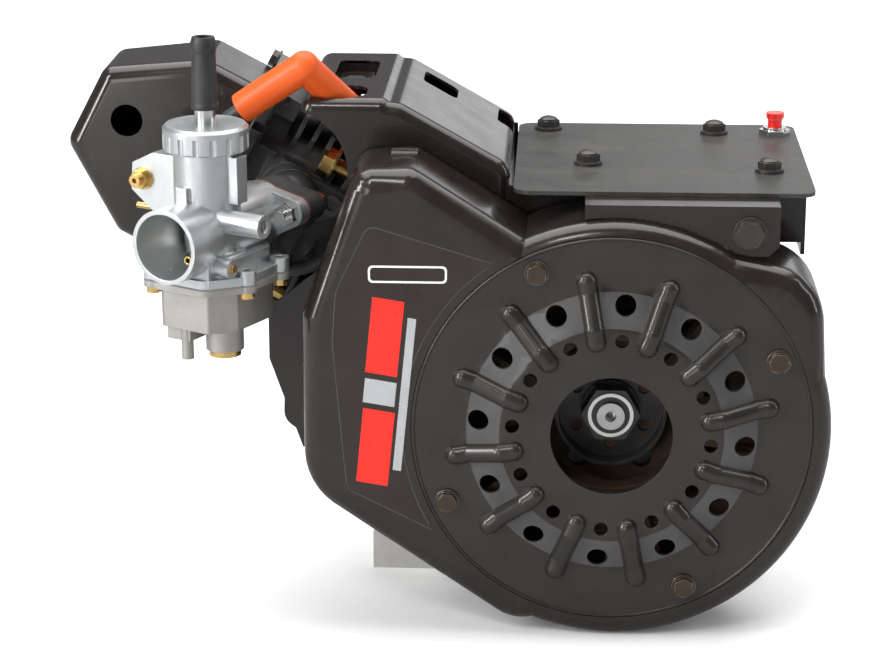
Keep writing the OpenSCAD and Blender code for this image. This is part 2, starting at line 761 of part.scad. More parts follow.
module piston() {
  color("silver") cyl_frame() difference() {
    translate([0, 0, piston_z - skirt_h]) cylinder(r = piston_r, h = crown_h + skirt_h);
    translate([0, 0, piston_z - skirt_h - eps]) cylinder(r = piston_r - 4, h = crown_h + skirt_h - 6);
    for (z = ring_z) translate([0, 0, piston_z + z]) difference() {
      cylinder(r = piston_r + 1, h = 1.5);
      translate([0, 0, -eps]) cylinder(r = piston_r - 2.6, h = 3);
    }
  }
  color("silver") cyl_frame() for (side = [-1, 1]) difference() {
    intersection() {
      translate([-11, side * 21 - 9, piston_z - 10]) cube([22, 18, crown_h]);
      cylinder(r = piston_r - 3.9, h = 200);
    }
    translate([0, 0, piston_z]) rotate([90, 0, 0]) cylinder(r = wrist_r + 0.02, h = 80, center = true);
  }
}
ring_z = [24, 19.5, 15];

module piston_rings() {
  color("dimgray") cyl_frame() for (z = ring_z) translate([0, 0, piston_z + z + 0.05]) difference() {
    cylinder(r = bore_r - 0.03, h = 1.4);
    translate([0, 0, -eps]) cylinder(r = piston_r - 2.5, h = 3);
    translate([20, -0.25, -eps]) cube([20, 0.5, 3]);
  }
}

// Wrist pin, and the crank pin that travels with the rod
module rod_pins() {
  color("silver") cyl_frame() {
    translate([0, 0, piston_z]) rotate([90, 0, 0]) difference() {
      cylinder(r = wrist_r, h = 56, center = true);
      cylinder(r = 4, h = 60, center = true);
    }
    translate([0, 0, throw]) rotate([90, 0, 0])
      cylinder(r = crank_pin_r, h = rod_w, center = true);
  }
}

module connecting_rod() {
  color("lightgray") cyl_frame() translate([0, rod_w / 2, 0]) rotate([90, 0, 0]) difference() {
    union() {
      translate([0, throw, 0]) cylinder(r = crank_pin_r + 7, h = rod_w);
      translate([0, piston_z, 1]) cylinder(r = wrist_r + 4, h = rod_w - 2);
      translate([0, 0, 4]) linear_extrude(rod_w - 8)
        polygon([[-11, throw + 8], [11, throw + 8], [7.5, piston_z - 6], [-7.5, piston_z - 6]]);
      for (sx = [-1, 1]) translate([sx * 15 - 5, throw - 8, 4]) cube([10, 18, rod_w - 8]);
    }
    translate([0, throw, -eps]) cylinder(r = crank_pin_r + run, h = rod_w + 1);
    translate([0, piston_z, -eps]) cylinder(r = wrist_r + run, h = rod_w + 1);
    for (sx = [-1, 1]) translate([-0.15 + sx * 16.5, throw, -eps]) translate([-6, -0.15, 0])
      cube([12.5, 0.3, rod_w + 1]);
    for (z = [-eps, rod_w - 7]) translate([0, 0, z]) linear_extrude(7.5)
      polygon([[-6, throw + 19], [6, throw + 19], [4, piston_z - 14], [-4, piston_z - 14]]);
  }
}

// ---------------------------------------------------------------- flywheel and blower

cover_sheet = 1.6;
// Centre of the round part of the blower
blower_mid = [1, -2];
hub_front = blower_y + 39;
nut_front = blower_y + 24;
rim_r = 76;
fin_out = 85;

module flywheel() {
  color("#3d2f28") difference() {
    union() {
      rod_y(24, hub_front, -case_len - 3 - hub_front);
      rod_y(rim_r - 10, hub_front, 5.5);
      ring_y(rim_r, rim_r - 16, -160, 19.5);
      for (a = [0 : 20 : 340]) rotate([0, a, 0]) translate([0, 0, 40])
        box([-1.6, -176, 0], [1.6, -159, fin_out - 40]);
      ring_y(46, 38, -160, 14);
    }
    rod_y(11 + 0.02, hub_front - eps, 60);
    for (a = [30 : 60 : 330]) rotate([0, a, 0]) translate([0, 0, 31]) rod_y(5, -148, 10);
  }
}

module flywheel_nut() {
  color("lightgray") {
    difference() {
      union() {
        translate([0, nut_front, 0]) rotate([-90, 0, 0])
          cylinder(r = 24.8 / sqrt(3), h = 11, $fn = 6);
        rod_y(11.4, nut_front - 0.5, 1);
      }
      rod_y(6.85, nut_front - 2, 14);
    }
    ring_y(14, 7.1, nut_front + 11, 2.4);
  }
  color("black") difference() {
    rod_y(27, hub_front - 12, 12);
    rod_y(25.4, hub_front - 13, 11.4);
    rod_y(7.1, hub_front - 2, 3);
    for (a = [0 : 60 : 300]) rotate([0, a, 0]) translate([0, 0, 19]) rod_y(3, hub_front - 2, 3);
  }
}

// Corner discs of the wide left part of the blower, and of its fuller upper right: x, z, radius
blower_discs = [[-113, 113, 12], [-98, 114, 12], [-135, 52, 12], [-115, -15, 32],
                [-42, -78, 21], [-50, 84, 12]];
outlet_discs = [[69, 52, 30], [blower_mid[0] + 19, blower_mid[1] + 12, blower_r - 22]];
edge_r = 9;

// Flat-backed pillow over discs, with a rounded front edge of radius e
module pillow(discs, t, front, back) {
  e = edge_r - t;
  hull() {
    for (d = discs, k = [0 : 30 : 90])
      translate([d[0], front + e * (1 - sin(k)), d[1]])
        rod_y(d[2] - t - e * (1 - cos(k)), 0, 0.01, $fn = 40);
    for (d = discs) translate([d[0], back, d[1]]) rod_y(d[2] - t, -0.01, 0.01, $fn = 40);
  }
}

// Blower form shrunk by t
module blower_form(t, front, back) {
  e = edge_r - t;
  pillow(blower_discs, t, front, back);
  pillow(outlet_discs, t, front, back);
  translate([blower_mid[0], front, blower_mid[1]]) rotate([-90, 0, 0]) {
    translate([0, 0, e]) rotate_extrude() translate([blower_r - edge_r, 0]) circle(r = e);
    cylinder(r = blower_r - edge_r, h = back - front);
    translate([0, 0, e]) cylinder(r = blower_r - t, h = back - front - e);
  }
}

module blower_housing() {
  color("#1c1a1a") difference() {
    union() {
      difference() {
        blower_form(0, blower_y, back_y);
        difference() {
          blower_form(sheet, blower_y + sheet, back_y + 1);
          rod_y(cover_r + 4, blower_y, 2 * sheet);
        }
      }
      for (p = blower_spots) translate([p[0], 0, p[1]]) rod_y(7, back_y - 8, 8);
    }
    rod_y(cover_r + gap, blower_y - 1, 1 + cover_sheet);
    rod_y(cover_r - 20, blower_y - 1, 8);
    for (a = cover_screw_angles) rotate([0, a, 0]) translate([0, 0, cover_screw_r])
      rod_y(3.05, blower_y, 8);
    for (p = blower_spots) translate([p[0], 0, p[1]]) rod_y(2.6, back_y - 7, 8);
  }
}
cover_screw_angles = [for (k = [0 : 3]) -24.9 + 90 * k];
bracket_bolt = [63, 95.5];

// Round pressed cover with cooling holes, ribs and a finger hole
module fan_cover() {
  rib_r = 4.9;
  color("#1c1a1a") difference() {
    union() {
      translate([0, blower_y, 0]) rotate([-90, 0, 0]) rotate_extrude()
        polygon([[cover_hole_r, -7], [53, -7], [69, 0], [cover_r, 0], [cover_r, cover_sheet],
                 [68, cover_sheet], [52, -5.2], [cover_hole_r, -5.2]]);
      difference() {
        for (k = [0 : rib_n - 1]) rotate([0, -9.9 + 360 / rib_n * k, 0]) pressed_rib(rib_r);
        translate([0, blower_y, 0]) rotate([-90, 0, 0]) rotate_extrude()
          polygon([[0, -5.2], [52, -5.2], [68, cover_sheet], [cover_r, cover_sheet],
                   [cover_r, 20], [0, 20]]);
      }
    }
    for (k = [0 : rib_n - 1]) rotate([0, -24.9 + 360 / rib_n * k, 0]) {
      translate([0, 0, 63.3]) rod_y(4.9, blower_y - 20, 40);
      translate([0, 0, 47.1]) rod_y(3.3, blower_y - 20, 40);
    }
    for (a = cover_screw_angles) rotate([0, a, 0]) translate([0, 0, cover_screw_r])
      rod_y(3.2, blower_y - 5, 20);
  }
}

// Rib along +Z that bends where the cone starts and ends; its joints are a little fuller
module pressed_rib(r) {
  y_in = blower_y - 6.2;
  y_out = blower_y + 0.6;
  slope = atan2(y_out - y_in, 69 - 53);
  joint_r = r + 0.12;
  translate([0, y_in, 47]) sphere(r = joint_r);
  translate([0, y_in, 47]) cylinder(r = r, h = 6);
  translate([0, y_in, 53]) sphere(r = joint_r);
  translate([0, y_in, 53]) rotate([-slope, 0, 0]) cylinder(r = r - 0.06, h = norm([16, y_out - y_in]));
  translate([0, y_out, 69]) sphere(r = joint_r);
  translate([0, y_out, 69]) cylinder(r = r, h = 6);
  translate([0, y_out, 75]) sphere(r = joint_r);
}

module fan_cover_screws() {
  color("#3a3632") for (a = cover_screw_angles) rotate([0, a, 0])
    translate([0, blower_y, cover_screw_r]) rotate([90, 0, 0]) {
      flange_bolt(6, 8, 8.6, 4.2);
    }
}

// Flat sheet behind the fan, with a wing that closes the underside of the cylinder
module back_plate() {
  color("#1c1a1a") difference() {
    union() {
      hull() for (d = blower_discs) translate([d[0], back_y, d[1]]) rod_y(d[2] - 0.5, 0, plate_t, $fn = 32);
      translate([blower_mid[0], 0, blower_mid[1]]) rod_y(blower_r - 0.5, back_y, plate_t);
      plate_y([[-140, 66], [-168, 44], [-168, 18], [-152, -28], [-136, -28]], back_y, plate_t);
    }
    rod_y(50, back_y - 1, 4);
    for (p = coil_spots) translate([p[0], 0, p[1]]) rod_y(5.5, back_y - 1, 4);
    for (p = blower_spots) translate([p[0], 0, p[1]]) rod_y(3.2, back_y - 1, 4);
    for (p = back_plate_spots) translate([p[0], 0, p[1]]) rod_y(3.2, back_y - 1, 4);
    translate([lead_hole[0], 0, lead_hole[1]]) rod_y(7, back_y - 1, 4);
    plate_y(corner_points([[-98, 34, 6], [-60, 34, 6], [-60, 60, 6], [-98, 60, 6]]), back_y - 1, 4);
  }
}
lead_hole = [-134, 70];

// Lower shield bolted under the cylinder beside the blower
module cylinder_shield() {
  color("#1c1a1a") difference() {
    union() {
      plate_y(corner_points([[-164, -22, 9], [-148, -34, 6], [-128, -34, 4], [-128, 6, 4],
                             [-163, 6, 4]]), -111, plate_t);
      plate_y([[-128, -34], [-126, -34], [-126, 6], [-128, 6]], -111, 40);
    }
    translate([shield_bolt[0], 0, shield_bolt[1]]) rod_y(3.2, -112, 4);
  }
}
shield_bolt = [-152, -18];

// All the small flange bolts that hold shrouds, coil, rocker cover and shield
module shroud_bolts() {
  color("#2b2b2b") {
    for (p = blower_spots) translate([p[0], back_y + plate_t, p[1]]) rotate([-90, 0, 0])
      flange_bolt(5, 8.5, 8, 4);
    for (p = back_plate_spots) translate([p[0], back_y, p[1]]) rotate([90, 0, 0])
      flange_bolt(6, 13, 9, 4.5);
    for (p = coil_spots) translate([p[0], coil_y, p[1]]) rotate([90, 0, 0])
      flange_bolt(5, 20, 8, 4);
    cyl_frame() for (p = box_bolt_spots) translate([p[0], p[1], box_base + 2.5])
      flange_bolt(5, 12, 8, 4.5);
    translate([bracket_bolt[0], bracket_y, bracket_bolt[1]]) rotate([90, 0, 0])
      flange_bolt(6, 9, 11.5, 5);
    translate([shield_bolt[0], -111, shield_bolt[1]]) rotate([90, 0, 0]) flange_bolt(6, 8, 10, 4.5);
    for (p = guide_bolts) translate([p[0], p[1], guide_top - 8 + guide_t]) flange_bolt(6, 10, 10, 5);
  }
}

// ---------------------------------------------------------------- air guide and top plate

guide_top = 148;
guide_front = back_y + plate_t;
guide_len = 114;
guide_t = 1.6;
guide_bolts = [[-129, -75]];
slot_spots = [[-94, -92, 18, 34], [-60, -104, 8, 30]];

// Outline of the air guide, shrunk by t; the shrunk one runs on below
function guide_outline(t) = corner_points([
  [-151.5 + t, 98 - 5 * t, 0.5], [-50 - t, 98 - 5 * t, 0.5], [-50 - t, 115.5 - 0.565 * t, 9 - t],
  [-104 - 0.278 * t, guide_top - t, 16 - t], [-151.5 + t, guide_top - t, 9 - t]
]);
guide_arch = [-160, 112, 31.5];

module air_guide() {
  back = guide_front + guide_len;
  arch_side = guide_arch[0] + guide_arch[2] - 0.2;
  color("#1a1818") difference() {
    union() {
      difference() {
        plate_y(guide_outline(0), guide_front, guide_len);
        plate_y(guide_outline(guide_t), guide_front + guide_t, guide_len - 2 * guide_t);
        // Open at the left side and in the left half of the rear wall
        box([-164, -150, 80], [arch_side, 0, guide_arch[1] + 0.5]);
        box([-163, guide_front + 3, 79], [arch_side - 1, 1, 139]);
        box([-162, back - 3, 78], [-112, back + 3, 144]);
        // Arch over the intake
        translate([guide_arch[0], 0, guide_arch[1]]) rod_y(guide_arch[2], guide_front - 1, 4.5);
      }
      // Bolt recess in the top, open to the rear
      recess(0, guide_top - 8, 7.9);
    }
    recess(guide_t, guide_top - 8 + guide_t, 12);
    translate([guide_bolts[0][0], guide_bolts[0][1], 100]) cylinder(r = 3.2, h = 60);
    // Oval hole for the spark plug boot
    translate([0, 0, guide_top - 6]) linear_extrude(12)
      polygon(corner_points([[-147, -129.2, 8], [-120, -129.2, 11.8], [-120, -99, 11.8], [-147, -99, 8]]));
    // Room for the housing's bolt heads
    for (p = blower_spots) translate([p[0], 0, p[1]]) rod_y(7, guide_front - 1, 6);
    // Cooling slots in the slope
    for (q = slot_spots) translate([q[0], q[1], 100]) linear_extrude(60)
      polygon(corner_points([[0, 0, 3.5], [q[2], 0, 3.5], [q[2], q[3], 3.5], [0, q[3], 3.5]]));
  }
}

// Recess block of the air guide, shrunk by t
module recess(t, z, h) {
  translate([0, 0, z]) linear_extrude(h)
    polygon(corner_points([[-141 + t, -84 + t, 9 - t], [-117 - t, -84 + t, 9 - t],
                           [-117 - t, -36 - t, 4], [-141 + t, -36 - t, 4]]));
}

plate_x = -48;
plate_y0 = -157;
top_bolts = [[-12.3, -101], [75.7, -113], [-32.6, -25], [52.9, -31]];
button_spot = [84, -31];
bracket_y = blower_y + 10;

module control_plate() {
  color("#2e2e2c") difference() {
    translate([0, 0, plate_z]) translate([0, 0, -plate_t]) linear_extrude(plate_t)
      polygon(corner_points([[plate_x, plate_y0, 8], [plate_x + plate_w, plate_y0, 8],
                             [plate_x + plate_w, plate_y0 + plate_l, 8],
                             [plate_x, plate_y0 + plate_l, 8]]));
    for (p = top_bolts) translate([p[0], p[1], plate_z - 5]) cylinder(r = 4.2, h = 10);
    translate([button_spot[0], button_spot[1], plate_z - 5]) cylinder(r = 6.1, h = 10);
  }
}

// Domed flange bolts with their bushes through the plate
module control_plate_bolts() {
  color("#2b2b2b") for (p = top_bolts) translate([p[0], p[1], plate_z]) {
    cylinder(r = 7, h = 1.6);
    cylinder(r = 10 / sqrt(3), h = 5, $fn = 6);
    intersection() {
      translate([0, 0, -1]) sphere(r = 8.2);
      translate([0, 0, 4.9]) cylinder(r = 4.6, h = 8);
    }
    translate([0, 0, -16]) cylinder(r = 4, h = 16.1);
    translate([0, 0, -15]) cylinder(r = 13 / sqrt(3), h = 6.5, $fn = 6);
  }
}

// Front bracket, its top flange under the plate, and the right-hand side wall
module plate_bracket() {
  t = sheet;
  low = plate_z - plate_t;
  color("#1a1818") difference() {
    union() {
      difference() {
        plate_y([[-14, low - 0.01], [-14, 90], [50, 86], [60, 84], [72, 84], [77, 89], [77, low - 0.01]],
                bracket_y, t);
        translate([blower_mid[0], 0, blower_mid[1]]) rod_y(blower_r + gap, bracket_y - 1, t + 2);
        translate([outlet_discs[0][0], 0, outlet_discs[0][1]])
          rod_y(outlet_discs[0][2] + gap, bracket_y - 1, t + 2);
      }
      box([-14, bracket_y, low - t], [77, -104, low]);
      box([60, -104 - eps, low - t], [93, -40, low]);
      box([91, -126, 72], [93, -64, low]);
      box([70, -126, 78], [93, -124, low]);
      box([70, -126, low - t], [93, -100, low]);
      box([-40, -112, low - t], [-13, -40, low]);
      box([-40, -42, low - t], [93, -18, low]);
    }
    translate([bracket_bolt[0], 0, bracket_bolt[1]]) rod_y(3.2, bracket_y - 1, 5);
    for (p = top_bolts) translate([p[0], p[1], plate_z - 8]) cylinder(r = 4.2, h = 10);
    translate([button_spot[0], button_spot[1], plate_z - 8]) cylinder(r = 8, h = 10);
    translate([90, -110, 94]) rotate([0, 90, 0]) cylinder(r = 3.2, h = 5);
  }
}

// Threaded body of the stop switch with its nickel nut and terminal
module stop_switch() {
  color("gold") translate([button_spot[0], button_spot[1], plate_z]) difference() {
    union() {
      translate([0, 0, -16]) cylinder(r = 6, h = 20);
      cylinder(r = 14 / sqrt(3), h = 2.6, $fn = 6);
      translate([0, 0, -plate_t - 3]) cylinder(r = 7.5, h = 3);
      translate([0, 0, -22]) cylinder(r = 3, h = 7);
    }
    translate([0, 0, -6]) cylinder(r = 3.6 + run, h = 11);
  }
}

module stop_button() {
  color("red") translate([button_spot[0], button_spot[1], plate_z]) {
    translate([0, 0, -2.5]) cylinder(r = 3.6, h = 10);
    translate([0, 0, 7.4]) cylinder(r1 = 3.6, r2 = 4.6, h = 1.6);
    translate([0, 0, 9]) cylinder(r = 4.6, h = 2.4);
  }
}

// ---------------------------------------------------------------- ignition

module ignition_coil() {
  color("#222222") difference() {
    union() {
      rotate([0, -45, 0]) {
        box([-26, coil_y, 92], [26, coil_y + 6, 101]);
        for (sx = [-1, 1]) box([sx * 19 - 7, coil_y, rim_r + 1], [sx * 19 + 7, coil_y + 6, 93]);
        box([-11.5, coil_y - 6, 87], [11.5, coil_y + 12, 107]);
      }
      bar(lead_end, lead_end + [10, 0, -1.4], 5.5);
    }
    bar(lead_route[len(lead_route) - 2], lead_end + [2, 0, -0.3], lead_r + 0.02);
    for (p = coil_spots) translate([p[0], 0, p[1]]) rod_y(2.7, coil_y - 1, 20);
  }
}

plug_axis = [-0.204, -0.504, 0.839];
plug_base = [-117.2, -81, 88.4];
boot_mouth = plug_base + 36 * plug_axis;
boot_bend = plug_base + 60 * plug_axis;
boot_apex = [-149, -130, 163];
boot_end = [-180, -125, 141.5];
boot_r = 7.6;
lead_r = 3.5;

// Round bar between two points
module bar(a, b, r) {
  v = b - a;
  translate(a) rotate([0, acos(v[2] / norm(v)), atan2(v[1], v[0])]) cylinder(r = r, h = norm(v));
}

module spark_plug_boot() {
  color("#e8602c") difference() {
    union() {
      bar(boot_mouth, boot_bend, boot_r);
      translate(boot_bend) sphere(r = boot_r + 0.2);
      bar(boot_bend, boot_apex, boot_r);
      translate(boot_apex) sphere(r = boot_r + 0.2);
      bar(boot_apex, boot_end, boot_r);
    }
    bar(plug_base + 30 * plug_axis, plug_base + 56 * plug_axis, 5.05);
    bar(plug_base + 32 * plug_axis, plug_base + 36.4 * plug_axis, 6.4);
    bar(plug_base + 53 * plug_axis, plug_base + 63 * plug_axis, 3.1);
    bar(boot_end + 12 * unit(boot_apex - boot_end), boot_end - 2 * unit(boot_apex - boot_end),
        lead_r + 0.02);
  }
}

// Hand-set route of the ignition lead from the boot to the coil
lead_route = [
  [-171.2, -126.4, 147.6], [-175.1, -125.8, 144.9], [-180, -125, 141.5], [-186, -123, 137],
  [-192, -121, 131], [-197, -119, 123], [-200, -117, 114], [-201, -116, 104], [-200, -116, 94],
  [-197, -117, 84], [-191, -119, 74], [-183, -121, 66], [-173, -123, 61],
  [-162, -125, 60], [-151, -126, 62], [-142, -128, 66], [-136, -132, 69.5],
  [-131, -138, 72], [-125, -144, 73.5], [-117, -149, 74], [-108, -151, 73],
  [-100, -151.5, 71], [-93, -151.5, 69], [-86, -151.5, 67.8]
];
lead_end = [-88, -151.5, 68.08];

// Tube of radius r along points p, each ring square to the route there
module tube_along(p, r, sides) {
  n = len(p);
  tangent = [for (i = [0 : n - 1]) unit(p[min(i + 1, n - 1)] - p[max(i - 1, 0)])];
  pts = [for (i = [0 : n - 1], j = [0 : sides - 1])
    let (t = tangent[i], u = unit(cross(t, [0.31, 0.9, 0.3])), w = cross(t, u), a = 360 * j / sides)
      p[i] + r * (cos(a) * u + sin(a) * w)];
  faces = concat(
    [[for (j = [0 : sides - 1]) j]],
    [for (i = [0 : n - 2], j = [0 : sides - 1])
      [i * sides + j, (i + 1) * sides + j, (i + 1) * sides + (j + 1) % sides,
       i * sides + (j + 1) % sides]],
    [[for (j = [sides - 1 : -1 : 0]) (n - 1) * sides + j]]
  );
  polyhedron(points = pts, faces = faces, convexity = 10);
}

module ignition_lead() {
  color("#2a2a2a") tube_along(lead_route, lead_r, 10);
}

// ---------------------------------------------------------------- intake and carburettor

// Centre of the manifold's flange on the carburettor, and of the head's intake port
flange_at = [carb_x + sin(carb_turn) * (flange_len + 13), carb_y + cos(carb_turn) * (flange_len + 13),
             carb_z];
port_at = [-port_s * cos(cyl_angle) + valve_b * sin(cyl_angle), -cyl_y - port_y,
           port_s * sin(cyl_angle) + valve_b * cos(cyl_angle)];
port_bend = port_at - [0, 15.2, 0];

// Frame of the leaning flanges on the carburettor bore: +Z points back to the slide
module flange_frame(y) {
  rotate([0, -stud_lean, 0]) translate([0, y, 0]) rotate([90, 0, 0]) children();
}

// Flange across the carburettor bore from local y to y + len
module carb_flange(y, len, r) {
  carb_frame() flange_frame(y + len) difference() {
    flange_block(len);
    ear_holes(r, -eps, len + 2 * eps);
    translate([0, 0, -eps]) cylinder(r = carb_bore / 2, h = len + 2 * eps);
  }
}

module intake_manifold() {
  color("#191919") {
    difference() {
      union() {
        port_face(-1, port_y) flange_block(6, port_ears(-1));
        bar(port_at - [0, 3, 0], port_bend, 14.6);
        translate(port_bend) sphere(r = 15.2);
        bar(port_bend, flange_at, 14.6);
      }
      bar(port_at + [0, 1, 0], port_bend, port_r);
      translate(port_bend) sphere(r = port_r + 0.4);
      bar(port_bend, flange_at + 1.5 * (flange_at - port_bend), port_r);
      port_face(-1, port_y) ear_holes(3.2, -1, 9, port_ears(-1));
      carb_frame() flange_frame(flange_len + 13) ear_holes(6.5, -10, 10.5);
    }
    carb_frame() flange_frame(flange_len + 13) difference() {
      union() {
        flange_block(6);
        translate([0, 0, -1.5]) cylinder(r = 14.5, h = 3);
      }
      ear_holes(3.05, -eps, 7);
      translate([0, 0, -3]) cylinder(r = port_r + 0.2, h = 12);
    }
  }
}

module manifold_bolts() {
  color("#202020") port_face(-1, port_y + 6) for (a = port_ears(-1))
    rotate(a) translate([stud_gap / 2, 0, 0]) difference() {
      union() {
        cylinder(r = 5, h = 5);
        translate([0, 0, -18]) cylinder(r = 3, h = 18.1);
      }
      translate([0, 0, 2.5]) cylinder(r = 2.9, h = 4, $fn = 6);
    }
}

module insulator_block() {
  color("#1b1b1b") carb_flange(flange_len + 1, 6, 3.2);
}

module carb_gasket() {
  color("#7a2a22") carb_flange(flange_len, 1, 3.2);
}

// Studs with a nut at each end
module carb_studs() {
  color("lightgray") carb_frame() rotate([0, -stud_lean, 0]) for (sx = [-1, 1])
    translate([sx * stud_gap / 2, 0, 0]) {
      rod_y(3, flange_len - 16, 38);
      for (y = [flange_len - 12, flange_len + 13.1]) translate([0, y, 0]) rotate([-90, 30, 0])
        cylinder(r = 10 / sqrt(3), h = 5, $fn = 6);
    }
}

bowl_corners = [[-24, -22, 10], [14, -24, 8], [26, -8, 8], [26, 26, 10], [14, 38, 8], [-24, 38, 10]];
bowl_screw_spots = [[-19.5, -17.5], [24.2, -4], [24.2, 23], [-19.5, 33.5]];
bowl_rim_z = joint_z - 1;
bowl_low = -44.5;
jet_boss = [8, 0, -56];
pilot_spot = [7.5, -27, -7];

module bowl_outline(t, z, len) {
  translate([0, 0, z]) linear_extrude(len) polygon(corner_points(inset(bowl_corners, t)));
}

// Ears round the bowl screws
module bowl_ears(z, len) {
  for (p = bowl_screw_spots) translate([p[0], p[1], z]) cylinder(r = 4.6, h = len);
}

// Cylinder along local +X
module rod_x(p, r, len) {
  translate(p) rotate([0, 90, 0]) cylinder(r = r, h = len);
}

module carb_body() {
  color("#b8bcc0") carb_frame() difference() {
    union() {
      rod_y(spigot_r, -inlet_len, 11);
      rod_y(spigot_r - 0.4, -inlet_len + 10, 14);
      flange_frame(flange_len) flange_block(carb_flange_t);
      rod_y(body_r + 0.3, -13, flange_len + 8);
      translate([0, 0, joint_z]) cylinder(r = body_r, h = body_top - joint_z);
      bowl_outline(0, joint_z, 4);
      bowl_ears(joint_z, 6.5);
      bowl_outline(7, joint_z, 11);
      box([-15.5, -22, joint_z], [15.5, 8, -8]);
      // Mounting lug, idle-speed boss, mixture boss, air boss and jet pillar
      plate_y([[0, 34], [-28, 35], [-40, 29], [-41, 16], [-20, 0], [0, 0]], -4, 8);
      rod_x([0, -6, 8], 5.6, 36);
      rod_x([5, -15, -11.5], 4.4, 19);
      box([-5, -17.8, 8], [1, -8, 24]);
      box([10, -4, 16], [20, 4, 38]);
      translate([0, 0, -40]) cylinder(r = 6, h = 20);
      for (sx = [-1, 1]) box([sx * 11 - 1, 24, -28.5], [sx * 11 + 1, 28.5, joint_z + 1]);
    }
    rod_y(carb_bore / 2, -inlet_len - 1, 90);
    translate([0, -inlet_len - eps, 0]) rotate([-90, 0, 0])
      cylinder(r1 = spigot_r - 2, r2 = carb_bore / 2, h = 24);
    translate([0, 0, -carb_bore / 2 - gap]) cylinder(r = slide_r + run, h = 90);
    translate([0, 0, -41]) cylinder(r = 3.02, h = 35);
    rod_x([15.8, -6, 8], 3.05, 24);
    rod_x([12, -15, -11.5], 2.05, 20);
    translate([-34, 0, 22]) rod_y(3.05, -5, 10);
    translate([-36, 4.5, 6]) rotate([0, 90, 0]) cylinder(r = 1.55, h = 20);
    translate([pilot_spot[0], 0, pilot_spot[2]]) rod_y(2.02, -24, 12);
    for (p = bowl_screw_spots) translate([p[0], p[1], joint_z - 1]) cylinder(r = 2.05, h = 8);
    rod_x([-14, 26, -25.6], 1.02, 28);
    flange_frame(flange_len) ear_holes(3.05, -eps, carb_flange_t + 2 * eps);
  }
}

// Round cap screwed over the slide well, with grip slots
module carb_cap() {
  color("#b8bcc0") carb_frame() difference() {
    translate([0, 0, 39.5]) rotate_extrude() polygon([
      [0, 0], [19, 0], [20, 1], [20, 10.5], [18.6, 12], [0, 12]
    ]);
    translate([0, 0, 39]) cylinder(r = body_r + 0.02, h = body_top - 39);
    translate([0, 0, 40]) cylinder(r = slide_r + 0.5, h = 9);
    translate([0, 0, 40]) cylinder(r = 4.02, h = 20);
    for (a = [0 : 22.5 : 350]) rotate(a) translate([20.4, 0, 38]) cylinder(r = 1.6, h = 9.5);
  }
}

module cable_adjuster() {
  color("lightgray") carb_frame() difference() {
    union() {
      translate([0, 0, 49.2]) cylinder(r = 4, h = 4);
      translate([0, 0, 51.5]) cylinder(r = 5, h = 10);
    }
    translate([0, 0, 48]) cylinder(r = 1.6, h = 20);
  }
}

module adjuster_boot() {
  color("#161616") carb_frame() difference() {
    translate([0, 0, 58.5]) rotate_extrude() polygon([
      [0, 0], [6.4, 0], [6.6, 1.5], [6.1, 3], [5.6, 26], [6, 28], [6, 31], [5.2, 33.5], [0, 33.5]
    ]);
    translate([0, 0, 58]) cylinder(r = 5.02, h = 3.5);
    translate([0, 0, 58]) cylinder(r = 3, h = 40);
  }
}

module float_bowl() {
  color("#8d8880") carb_frame() difference() {
    union() {
      bowl_outline(0, bowl_rim_z - 3, 3);
      bowl_ears(bowl_rim_z - 3, 3);
      bowl_outline(6, bowl_low, bowl_rim_z - bowl_low);
      box([-15, -14, -51], [-2, 22, bowl_low + 1]);
      translate(jet_boss) cylinder(r = 9, h = 14);
      translate([-5, -12, -60]) cylinder(r = 2.9, h = 18);
    }
    bowl_outline(8, bowl_low + 2.2, 40);
    translate(jet_boss - [0, 0, 1]) cylinder(r = 5.02, h = 20);
    translate([-5, -12, -61]) cylinder(r = 1.6, h = 14);
    for (p = bowl_screw_spots) translate([p[0], p[1], -30]) cylinder(r = 2.2, h = 20);
  }
}

module bowl_gasket() {
  color("black") carb_frame() difference() {
    union() {
      bowl_outline(0, bowl_rim_z, 1);
      bowl_ears(bowl_rim_z, 1);
    }
    bowl_outline(8, bowl_rim_z - 1, 3);
    for (p = bowl_screw_spots) translate([p[0], p[1], -30]) cylinder(r = 2.2, h = 20);
  }
}

module bowl_screws() {
  color("gold") carb_frame() for (p = bowl_screw_spots) translate([p[0], p[1], bowl_rim_z - 3])
    difference() {
      union() {
        translate([0, 0, -3]) cylinder(r = 3.4, h = 3);
        translate([0, 0, -1]) cylinder(r = 2, h = 10);
      }
      translate([-4, -0.5, -3.5]) cube([8, 1, 1.5]);
    }
}

// Jet tube, bowl plug, mixture screw, nipple, pilot tube, lug stud and float pin
module carb_brass_parts() {
  color("gold") carb_frame() {
    difference() {
      translate([0, 0, -41]) cylinder(r = 3, h = 29);
      translate([0, 0, -42]) cylinder(r = 1.5, h = 40);
    }
    translate(jet_boss - [0, 0, 3]) cylinder(r = 7.6, h = 3);
    translate(jet_boss - [0, 0, 0.1]) cylinder(r = 5, h = 12);
    difference() {
      rod_x([13, -15, -11.5], 2, 12.4);
      box([24.4, -15.4, -14], [26, -14.6, -9]);
    }
    difference() {
      rod_x([-44, 4.5, 6], 1.5, 26);
      rod_x([-45, 4.5, 6], 0.8, 12);
    }
    translate([pilot_spot[0], 0, pilot_spot[2]]) difference() {
      rod_y(2, pilot_spot[1], 14);
      rod_y(1.2, pilot_spot[1] - 1, 12);
    }
    translate([-34, 0, 22]) difference() {
      union() {
        rod_y(3, -11, 16);
        translate([0, -8.5, 0]) rotate([-90, 0, 0]) cylinder(r = 8 / sqrt(3), h = 4.5, $fn = 6);
        rod_y(5.4, -5, 1);
      }
      rod_y(1.2, -12, 6);
    }
    rod_x([-13, 26, -25.6], 1, 26);
  }
}

